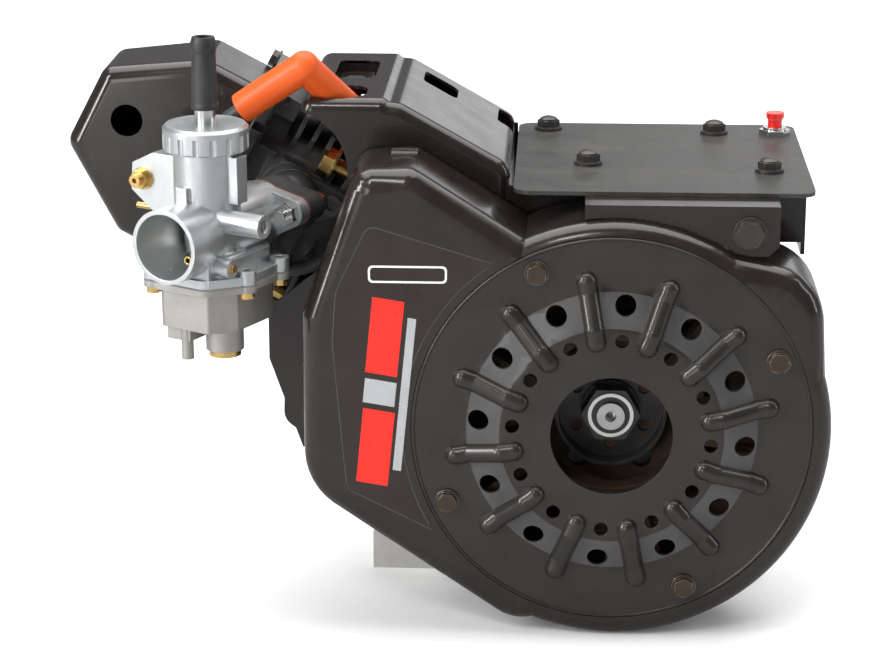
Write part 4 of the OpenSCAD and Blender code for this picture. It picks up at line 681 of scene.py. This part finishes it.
@dataclass
class PackedNodes:
    """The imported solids, each given the finish of its real piece."""

    groups: EffectGroups
    plug_base: Triple = (-0.1172, -0.081, 0.0884)
    plug_axis: Triple = (-0.204, -0.504, 0.839)
    plain: tuple[tuple[Finish, str], ...] = (
        (CASE_ALUMINIUM, "crankcase crankcase_cover piston connecting_rod"),
        (GREY_IRON, "cylinder_sleeve camshaft piston_rings intake_rocker exhaust_rocker"),
        (YELLOW_ZINC, "case_and_head_bolts"),
        (STEEL, "bearings_and_seals rocker_shaft crankshaft rod_pins"),
        (STEEL, "intake_pushrod exhaust_pushrod intake_valve exhaust_valve"),
        (GREY_GASKET, "head_gasket rocker_cover_gasket bowl_gasket"),
        (BLACK_CASTING, "cylinder_head intake_manifold"),
        (GLOSS_BLACK, "rocker_cover back_plate cylinder_shield blower_housing plate_bracket"),
        (ORANGE_SILICONE, "spark_plug_boot"),
        (LEAD_RUBBER, "ignition_lead"),
        (BLACK_STEEL, "shroud_bolts control_plate_bolts manifold_bolts"),
        (BRONZED, "fan_cover_screws"),
        (PEBBLE_BLACK, "control_plate"),
        (BLACK_PLASTIC, "insulator_block"),
        (RED_GASKET, "carb_gasket"),
        (CARB_ZINC, "carb_body carb_cap"),
        (BRIGHT, "carb_studs cable_adjuster idle_speed_screw throttle_slide"),
        (BRIGHT, "intake_valve_spring exhaust_valve_spring slide_spring"),
        (BLACK_RUBBER, "adjuster_boot"),
        (BOWL_ZINC, "float_bowl"),
        (BRASS, "bowl_screws carb_brass_parts"),
        (RUSTY_IRON, "flywheel"),
        (RESIN, "float"),
        (RED_PLASTIC, "stop_button"),
    )

    def zoned(self) -> dict[str, tuple[Finish, Zone, Finish]]:
        """Returns the nodes whose solids have two finishes, with the place of the second."""
        up, out, centre = (0.0, 0.0, 1.0), (0.0, 1.0, 0.0), (0.0, 0.0, 0.0)
        switch_low, switch_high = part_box("stop_switch")
        switch = (switch_low + switch_high) / 2
        coil_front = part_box("ignition_coil")[0].y
        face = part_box("blower_housing")[0].y
        cone_inner, cone_outer, cone_depth = 53 * MM, 69 * MM, 7 * MM
        cone = Zone(
            (0.0, face, 0.0), out, low=-cone_depth - 0.35 * MM, inner=cone_inner, outer=cone_outer,
            slope=cone_depth / (cone_outer - cone_inner),
        )
        # A bright plated ring on the nut's flat front face: bare metal of its chamfer, and a
        # painted highlight where the chamfer catches the light.
        nut_chamfer_highlight = Zone(centre, out, inner=9.3 * MM, outer=11.0 * MM)
        drain = Zone(centre, up, high=-60 * MM)
        thread = Zone((switch.x, switch.y, switch_low.z), up, high=13 * MM)
        legs = Zone((0.0, coil_front, 0.0), out, low=5.9 * MM, high=12.1 * MM)
        insulator = Zone(self.plug_base, self.plug_axis, low=32 * MM)
        return {
            "fan_cover": (PANEL_BLACK, cone, BAND_BLACK),
            "flywheel_nut": (BLACK_STEEL, nut_chamfer_highlight, BRIGHT),
            "oil_plugs": (BLACK_PLASTIC, drain, STEEL),
            "stop_switch": (BRIGHT, thread, BRASS),
            "ignition_coil": (BLACK_PLASTIC, legs, STEEL),
            "spark_plug": (BRIGHT, insulator, CERAMIC),
        }

    def dress(self) -> None:
        """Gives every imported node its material."""
        made: dict[str, bpy.types.Material] = {}
        missing = set(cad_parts) - {"air_guide"}
        for finish, names in self.plain:
            if finish.name not in made:
                made[finish.name] = finish.material(self.groups)
            for name in names.split():
                self._assign(name, made[finish.name])
                missing.discard(name)
        for name, (finish, zone, other) in self.zoned().items():
            self._assign(name, finish.material(self.groups, zone, other))
            missing.discard(name)
        if missing:
            LOG.warning("nodes with no finish: %s", sorted(missing))

    @staticmethod
    def _assign(name: str, material: bpy.types.Material) -> None:
        """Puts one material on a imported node."""
        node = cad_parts[name]
        node.data.materials.clear()
        node.data.materials.append(material)
        smooth_with_edges(node)
        LOG.info("dressed %s as %s", name, material.name)


@dataclass
class AirGuide:
    """The deep-drawn sheet over the cylinder: profile, folds, arch and holes, in millimetres."""

    groups: EffectGroups
    thickness: float = 1.6
    fold: float = 6.0
    fold_steps: int = 8
    flat_from: float = 36.0
    pitch: float = 1.2
    blur: float = 3.0
    inset: float = 0.05
    lip: float = 6.4
    step: tuple[Triple, ...] = ((-111.0, 0.0, 2.4), (-108.6, 2.0, 2.4), (-102.6, 2.6, 9.0))
    shoulder: Pair = (115.6, 9.0)
    arch: Triple = (-160.0, 112.0, 31.5)
    arch_side: float = -128.7
    arch_end: float = 59.0
    bolt_notch: Triple = (-124.0, 96.0, 7.0)
    slots: tuple[Plan, ...] = ((-96.0, -56.0, -79.0, -32.0), (-58.5, -52.0, -50.5, -23.0))
    slot_corners: Pair = (2.6, 3.9)
    boot_hole: Plan = (-147.0, -129.2, -120.0, -99.0)
    boot_corners: Pair = (8.0, 11.5)
    pocket: Plan = (-141.0, -84.0, -117.0, -36.0)
    pocket_corners: Pair = (4.0, 8.0)
    pocket_mouth_corners: Pair = (4.0, 7.0)
    pocket_depth: float = 8.0
    pocket_bolt: Triple = (-129.0, -75.0, 3.2)
    overshoot: float = 6.0
    # A black sheet below the right side and beside the plate, standing in for the shadowed parts
    # behind: painted shade.
    shade_sheet_right: float = -12.0
    shade_sheet_bottom: float = 70.0
    shade_sheet_top: float = 106.0
    shade_sheet_front: float = 2.0
    shade_sheet_back: float = 3.0
    shade_sheet_lap: float = 0.6
    shade_sheet_corner: float = 6.0
    shade_tab_right: float = -42.0
    shade_tab_bottom: float = 76.0
    shade_tab_top: float = 112.4
    shade_tab_corner: float = 3.0
    plate_under: float = 107.4
    plate_left: float = -48.4

    def build(self) -> None:
        """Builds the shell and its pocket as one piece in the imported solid's place."""
        low, high = (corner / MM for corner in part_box("air_guide"))
        shell = as_object(self._skin(low, high), "air_guide_shell")
        solid = shell.modifiers.new("sheet", "SOLIDIFY")
        solid.thickness = self.thickness * MM
        solid.offset = -1.0
        solid.use_even_offset = True
        solid.use_rim = True
        settle(shell)
        cut(shell, self._openings(high.z))
        self._add_pocket(shell, high.z)
        # Adds the black sheet of painted shade in the shadowed gap under the plate.
        self._add_shade_sheet(shell, low, high)
        shell.data.materials.append(GLOSS_BLACK.material(self.groups))
        smooth_with_edges(shell, 50.0)
        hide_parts("air_guide")
        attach(shell, "engine")
        LOG.info("built air_guide_shell")

    def _profile(self, low: Vector, high: Vector) -> list[tuple[Vector, Vector]]:
        """Lays points along the sheet's section, from its left lip to its right foot.

        Args:
            low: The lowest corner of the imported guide.
            high: Its highest corner.

        Returns:
            Each point with its outward normal, smoothed over the fold's width.
        """
        top = high.z - self.inset
        left, right = low.x + self.inset, high.x - self.inset
        corners = [(left, top - self.lip, 0.0), (left, top, self.lip)]
        corners += [(x, top - drop, radius) for x, drop, radius in self.step]
        corners += [(right, *self.shoulder), (right, low.z + self.inset, 0.0)]
        line = rounded_line(corners, False, 10)
        lengths = [0.0]
        for before, after in zip(line, line[1:]):
            lengths.append(lengths[-1] + (after - before).length)

        def at(distance: float) -> Vector:
            """Returns the point at a distance along the section."""
            distance = min(max(distance, 0.0), lengths[-1])
            index = max(i for i, length in enumerate(lengths[:-1]) if length <= distance)
            span = max(lengths[index + 1] - lengths[index], 1e-6)
            return line[index].lerp(line[index + 1], (distance - lengths[index]) / span)

        count = int(lengths[-1] / self.pitch)
        result = []
        for index in range(count + 1):
            place = lengths[-1] * index / count
            along = (at(place + self.blur) - at(place - self.blur)).normalized()
            result.append((at(place), Vector((-along.y, along.x))))
        return result

    def _skin(self, low: Vector, high: Vector) -> Mesh:
        """Builds the outer surface: the section swept back, its front fold and both end walls."""
        profile = self._profile(low, high)
        mesh = bmesh.new()
        rings = []
        back, front, bottom = high.y - self.inset, low.y + self.inset, low.z + self.inset
        stations = [(back, 0.0), (front + self.flat_from, 0.0)]
        for step in range(self.fold_steps + 1):
            turn = math.radians(90.0 * step / self.fold_steps)
            stations.append(
                (front + self.fold * (1 - math.sin(turn)), self.fold * (1 - math.cos(turn)))
            )
        for y, inward in stations:
            places = [point - normal * inward for point, normal in profile]
            rings.append([self._corner(mesh, p.x, y, max(p.y, bottom)) for p in places])
        for first, second in zip(rings, rings[1:]):
            bridge(mesh, first, second, False)
        edge = [self._corner(mesh, p.x, front, p.y) for p in self._front_edge(bottom)]
        mesh.faces.new(rings[-1] + edge)
        wall_from = self.step[0][0]
        rear = [vert for vert, (point, _) in zip(rings[0], profile) if point.x > wall_from]
        mesh.faces.new(rear + [self._corner(mesh, rear[0].co.x / MM, back, bottom)])
        bmesh.ops.recalc_face_normals(mesh, faces=mesh.faces)
        if sum(face.normal.z for face in mesh.faces if abs(face.normal.z) > 0.9) < 0:
            bmesh.ops.reverse_faces(mesh, faces=mesh.faces)
        return mesh

    @staticmethod
    def _corner(mesh: Mesh, x: float, y: float, z: float) -> bmesh.types.BMVert:
        """Adds one point, given in millimetres."""
        return mesh.verts.new(Vector((x, y, z)) * MM)

    def _front_edge(self, bottom: float) -> list[Vector]:
        """Returns the front wall's lower edge, from its right foot round the bolt to the arch."""
        x, z, radius = self.bolt_notch
        foot = math.degrees(math.asin((bottom - z) / radius))
        side = math.degrees(math.acos((self.arch_side - x) / radius))
        centre_x, centre_z, arch_radius = self.arch
        notch = arc((x, z), radius, foot, side, 12)
        return notch + arc((centre_x, centre_z), arch_radius, 0.0, self.arch_end, 32)

    def _openings(self, top: float) -> list[Mesh]:
        """Returns the cutters of the boot hole, the slots and the pocket's mouth."""
        low, high, below = top - self.overshoot, top + self.overshoot, self.shade_sheet_bottom
        return [
            self._block(self.boot_hole, self.boot_corners, low, high),
            *(self._block(slot, self.slot_corners, below, high) for slot in self.slots),
            self._block(self._mouth(), self.pocket_mouth_corners, low, high),
        ]

    def _mouth(self) -> Plan:
        """Returns the inside of the pocket."""
        x0, y0, x1, y1 = self.pocket
        sheet = self.thickness
        return x0 + sheet, y0 + sheet, x1 - sheet, y1 - sheet

    @staticmethod
    def _block(plan: Plan, radii: Pair, low: float, high: float) -> Mesh:
        """Builds an upright block, its corners round with one radius at left, one at right."""
        x0, y0, x1, y1 = plan
        left, right = radii
        corners = [(x0, y0, left), (x1, y0, right), (x1, y1, right), (x0, y1, left)]
        return prism(rounded_line(corners, True), low, high, Axis.Z)

    def _add_pocket(self, shell: Piece, top: float) -> None:
        """Adds the pan under the pocket's mouth to the shell."""
        floor, rim = top - self.pocket_depth, top - self.thickness / 4
        pan = as_object(self._block(self.pocket, self.pocket_corners, floor, rim), "pan")
        x, y, radius = self.pocket_bolt
        ring = arc((x, y), radius, 0.0, 360.0, 32)[:-1]
        inside = self._block(
            self._mouth(), self.pocket_mouth_corners, floor + self.thickness, top + self.overshoot
        )
        cut(pan, [inside, prism(ring, floor - self.overshoot, top, Axis.Z)])
        join(shell, pan)

    def _add_shade_sheet(self, shell: Piece, low: Vector, high: Vector) -> None:
        """Adds a black sheet below the right side, painted shade filling the shadowed gap under the
        plate: its front, its side and a tab beside the plate.
        """
        sheet, tip = self.thickness, high.x
        left, front, back = tip - sheet, low.y + self.shade_sheet_front, high.y - self.shade_sheet_back
        bottom, top = self.shade_sheet_bottom, self.shade_sheet_top
        front_leg = [
            (left, bottom, 0.0), (self.shade_sheet_right, bottom, self.shade_sheet_corner),
            (self.shade_sheet_right, top, 1.0), (left, top, 0.0),
        ]
        side_leg = [(left, front, 0.0), (tip, front, 0.0), (tip, back, 0.0), (left, back, 0.0)]
        tab = [
            (left, self.shade_tab_bottom, 0.0), (self.shade_tab_right, self.shade_tab_bottom, self.shade_tab_corner),
            (self.shade_tab_right, self.plate_under, 1.0), (self.plate_left, self.plate_under, 0.0),
            (self.plate_left, self.shade_tab_top, 0.6), (left, self.shade_tab_top, 0.0),
        ]
        for corners, start, end, axis in (
            (front_leg, front, front + sheet, Axis.Y),
            (side_leg, bottom, low.z + self.shade_sheet_lap, Axis.Z),
            (tab, back, back + sheet, Axis.Y),
        ):
            leg = prism(rounded_line(corners, True, 4), start, end, axis)
            join(shell, as_object(leg, "leg"))


@dataclass
class HousingClip:
    """The small bent clip on the housing's top seam, in millimetres."""

    groups: EffectGroups
    place: Triple = (-99.6, -150.0, 127.5)
    width: float = 12.5
    depth: float = 9.0
    drop: float = 6.0
    thickness: float = 1.0
    bend: float = 1.6
    slot: Triple = (5.6, 2.6, 1.25)
    edge: float = 0.18

    def build(self) -> None:
        """Builds the clip: a bent strip with a pressed oval slot."""
        x, y, z = self.place
        front, back = y - self.depth / 2, y + self.depth / 2
        inner_front, inner_top = front + self.thickness, z - self.thickness
        section = rounded_line(
            [
                (front, z - self.drop, 0.0), (front, z, self.bend), (back, z, 0.0),
                (back, inner_top, 0.0), (inner_front, inner_top, self.bend - self.thickness),
                (inner_front, z - self.drop, 0.0),
            ],
            True, 5,
        )
        half = self.width / 2
        clip = as_object(prism(section, x - half, x + half, Axis.X), "housing_clip")
        length, breadth, radius = self.slot
        reach, span = length / 2, breadth / 2
        oval = rounded_box((x - reach, y - span), (x + reach, y + span), radius)
        cut(clip, [prism(oval, z - self.drop, z + self.drop, Axis.Z)])
        bevel = clip.modifiers.new("edges_round", "BEVEL")
        bevel.width = self.edge * MM
        bevel.segments = 2
        settle(clip)
        clip.data.materials.append(BLACK_STEEL.material(self.groups))
        smooth_with_edges(clip)
        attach(clip, "engine")
        LOG.info("built housing_clip")


@dataclass
class CoverRim:
    """The raised round lip along the fan cover's outer edge, in millimetres."""

    groups: EffectGroups
    lip: float = 0.8
    sunk: float = 0.25
    around: int = 180
    section: int = 12

    def build(self) -> None:
        """Builds the lip as a ring on the cover's edge."""
        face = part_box("blower_housing")[0].y / MM + self.sunk
        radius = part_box("fan_cover")[1].x / MM - self.lip
        section = arc((radius, face), self.lip, 0.0, 360.0, self.section)[:-1]
        mesh = bmesh.new()
        rings = []
        for turn in arc((0.0, 0.0), 1.0, 0.0, 360.0, self.around)[:-1]:
            places = [(turn.x * point.x, point.y, turn.y * point.x) for point in section]
            rings.append([mesh.verts.new(Vector(place) * MM) for place in places])
        for index, ring in enumerate(rings):
            bridge(mesh, rings[index - 1], ring, True)
        bmesh.ops.recalc_face_normals(mesh, faces=mesh.faces)
        rim = as_object(mesh, "fan_cover_rim")
        rim.data.materials.append(PANEL_BLACK.material(self.groups))
        rim.data.shade_smooth()
        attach(rim, "engine")
        LOG.info("built fan_cover_rim")


@dataclass(frozen=True)
class Stripe:
    """One slanted block of the stripe: its foot, its width and height, and its finish."""

    foot: Pair
    width: float
    height: float
    finish: Finish


@dataclass
class HousingDecal:
    """A plain film on the front of the blower housing, with a stripe of slanted blocks."""

    groups: EffectGroups
    film_corners: tuple[Triple, ...] = (
        (-114.9, 99.4, 5.0), (-130.3, 67.1, 25.0), (-132.1, 41.5, 0.0), (-127.8, -9.5, 0.0),
        (-125.8, -31.0, 5.0),
    )
    film_arc: Triple = (99.5, 211.0, 124.8)
    film_border: float = 0.25
    badge: Plan = (-115.0, 71.9, -78.0, 80.3)
    badge_corner: float = 2.2
    badge_border: float = 1.0
    badge_inner_corner: float = 1.6
    edge_lift: float = 0.03
    film_lift: float = 0.06
    stripe_lift: float = 0.10
    badge_lift: float = 0.14
    back_share: float = 0.3
    slant: float = 0.16
    lean: float = 0.10
    stripes: tuple[Stripe, ...] = (
        Stripe((-121.5, -27.0), 15.0, 37.0, DECAL_RED),
        Stripe((-118.0, 13.0), 15.0, 12.0, DECAL_SILVER),
        Stripe((-116.7, 28.0), 15.0, 37.0, DECAL_RED),
        Stripe((-104.0, -21.0), 4.0, 76.0, DECAL_SILVER),
    )

    def build(self) -> None:
        """Builds the film, its blank badge and its blocks."""
        radius, start, stop = self.film_arc
        along_cover = [(*point, 0.0) for point in arc((0.0, 0.0), radius, start, stop, 40)]
        film = rounded_line([*self.film_corners, *along_cover], True)
        x0, z0, x1, z1 = self.badge
        inset = self.badge_border
        outer = rounded_box((x0, z0), (x1, z1), self.badge_corner, 5)
        inner = rounded_box(
            (x0 + inset, z0 + inset), (x1 - inset, z1 - inset), self.badge_inner_corner, 5
        )
        border = grown(film, self.film_border)
        self._sheet("housing_decal_edge", border, self.edge_lift, DECAL_EDGE)
        self._sheet("housing_decal_film", film, self.film_lift, DECAL_FILM)
        self._sheet("housing_badge_border", outer, self.stripe_lift, DECAL_WHITE)
        self._sheet("housing_badge_field", inner, self.badge_lift, DECAL_FILM)
        for index, stripe in enumerate(self.stripes):
            x, z = stripe.foot
            top = z + stripe.height
            drop = stripe.width * self.slant
            shift = stripe.height * self.lean
            corners = [
                Vector((x, z)), Vector((x + stripe.width, z - drop)),
                Vector((x + stripe.width + shift, top - drop)), Vector((x + shift, top)),
            ]
            name = f"housing_decal_block_{index + 1}"
            self._sheet(name, corners, self.stripe_lift, stripe.finish)

    def _sheet(self, name: str, outline: list[Vector], lift: float, finish: Finish) -> None:
        """Builds one thin sheet on the housing's front face.

        Args:
            name: The piece's name.
            outline: Its outline in X and Z, in millimetres.
            lift: How far its front stands off the face, in millimetres.
            finish: Its finish.
        """
        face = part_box("blower_housing")[0].y / MM
        back = face - self.back_share * lift
        piece = as_object(prism(outline, face - lift, back, Axis.Y), name)
        piece.data.materials.append(finish.material(self.groups))
        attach(piece, "engine")
        LOG.info("built %s", name)


@dataclass(frozen=True)
class SoftBox:
    """One soft light: its place and size in metres and its power in watts."""

    name: str
    place: Triple
    size: Pair
    power: float


@dataclass
class Studio:
    """Pale floor, soft lights and the camera, in metres and degrees."""

    floor_half: float = 6.0
    floor_tones: tuple[Color, Color] = ((0.9, 0.9, 0.9), (0.93, 0.93, 0.93))
    floor_roughness: float = 0.9
    floor_specular: float = 0.1
    mirrored_floor: Color = (0.38, 0.38, 0.38)
    glow_starts: float = 1.0
    glow_full: float = 2.3
    far_glow: float = 0.7
    world_color: tuple[float, float, float, float] = (0.95, 0.96, 1.0, 1.0)
    world_strength: float = 0.32
    seen_world: float = 1.0
    mirrored_world: float = 0.2
    aim: Triple = (-0.02, -0.1, 0.03)
    camera_place: Triple = (-0.02258, -1.36381, 0.41401)
    camera_pitch: float = 17.088
    camera_yaw: float = -2.69
    lens: float = 105.88
    sensor: float = 36.0
    boxes: tuple[SoftBox, ...] = (
        SoftBox("top_box", (0.0, 0.45, 2.3), (3.4, 2.6), 112.0),
        SoftBox("rear_box", (1.35, 2.7, 0.72), (2.9, 0.9), 8.5),
        SoftBox("left_strip", (-1.25, -0.85, 0.6), (0.16, 1.2), 20.0),
        SoftBox("right_strip", (1.4, -0.2, 0.6), (0.12, 1.2), 5.0),
        SoftBox("low_left_box", (-0.85, -1.9, 0.35), (0.5, 0.9), 7.0),
        SoftBox("front_box", (-0.5, -1.7, 1.7), (0.5, 0.4), 10.0),
    )

    def build(self) -> None:
        """Builds the floor, world, lights and camera."""
        self._floor()
        self._world()
        self._lights()
        self._camera()

    def _floor(self) -> None:
        """Builds the floor: faintly mottled, dimmer in reflections, aglow far from the engine."""
        mesh = bmesh.new()
        bmesh.ops.create_grid(mesh, x_segments=8, y_segments=8, size=self.floor_half)
        floor = as_object(mesh, "studio_floor")
        floor.location.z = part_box("crankcase")[0].z
        material = bpy.data.materials.new("studio_floor")
        material.use_nodes = True
        graph = Graph(material.node_tree)
        shader = material.node_tree.nodes["Principled BSDF"]
        vector = graph.value("TexCoord", {}, "Object")
        tone = graph.remap(graph.noise(vector, scale=2.0), TONE_LOW, TONE_HIGH)
        pale = graph.blend(tone, *self.floor_tones)
        path = graph.add("LightPath").outputs
        color = graph.blend(path["Is Glossy Ray"], pale, self.mirrored_floor)
        graph.feed(shader.inputs["Base Color"], color)
        reach = graph.vector("LENGTH", vector)
        glow = graph.remap(reach, self.glow_starts, self.glow_full, to_high=self.far_glow)
        seen_glow = graph.mix(path["Is Camera Ray"], 0.0, glow)
        graph.feed(shader.inputs["Emission Strength"], seen_glow)
        shader.inputs["Emission Color"].default_value = (1.0, 1.0, 1.0, 1.0)
        shader.inputs["Roughness"].default_value = self.floor_roughness
        shader.inputs["Specular IOR Level"].default_value = self.floor_specular
        floor.data.materials.append(material)

    def _world(self) -> None:
        """Sets an even pale surround, dimmer in reflections, and shows the colours as they are."""
        bpy.context.scene.view_settings.view_transform = "Standard"
        world = bpy.data.worlds.new("studio")
        world.use_nodes = True
        background = world.node_tree.nodes["Background"]
        background.inputs["Color"].default_value = self.world_color
        graph = Graph(world.node_tree)
        path = graph.add("LightPath").outputs
        strength = graph.mix(path["Is Glossy Ray"], self.world_strength, self.mirrored_world)
        strength = graph.mix(path["Is Camera Ray"], strength, self.seen_world)
        graph.feed(background.inputs["Strength"], strength)
        bpy.context.scene.world = world

    def _lights(self) -> None:
        """Places the soft boxes."""
        for box in self.boxes:
            data = bpy.data.lights.new(box.name, "AREA")
            data.shape = "RECTANGLE"
            data.size, data.size_y = box.size
            data.energy = box.power
            light = bpy.data.objects.new(box.name, data)
            light.location = box.place
            light.visible_camera = False
            ray = Vector(self.aim) - Vector(box.place)
            light.rotation_euler = ray.to_track_quat("-Z", "Y").to_euler()
            bpy.context.collection.objects.link(light)

    def _camera(self) -> None:
        """Places the camera."""
        data = bpy.data.cameras.new("camera")
        data.lens = self.lens
        data.sensor_width = self.sensor
        camera = bpy.data.objects.new("camera", data)
        camera.location = self.camera_place
        pitch, yaw = math.radians(self.camera_pitch), math.radians(self.camera_yaw)
        ahead = Vector(
            (math.sin(yaw) * math.cos(pitch), math.cos(yaw) * math.cos(pitch), -math.sin(pitch))
        )
        camera.rotation_euler = ahead.to_track_quat("-Z", "Y").to_euler()
        bpy.context.collection.objects.link(camera)
        bpy.context.scene.camera = camera


def main() -> None:
    """Builds the studio and every piece, in order."""
    logging.basicConfig(level=logging.WARNING)
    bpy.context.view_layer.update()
    Studio().build()
    groups = EffectGroups()
    PackedNodes(groups).dress()
    AirGuide(groups).build()
    HousingClip(groups).build()
    CoverRim(groups).build()
    HousingDecal(groups).build()


if __name__ == "__main__":
    main()
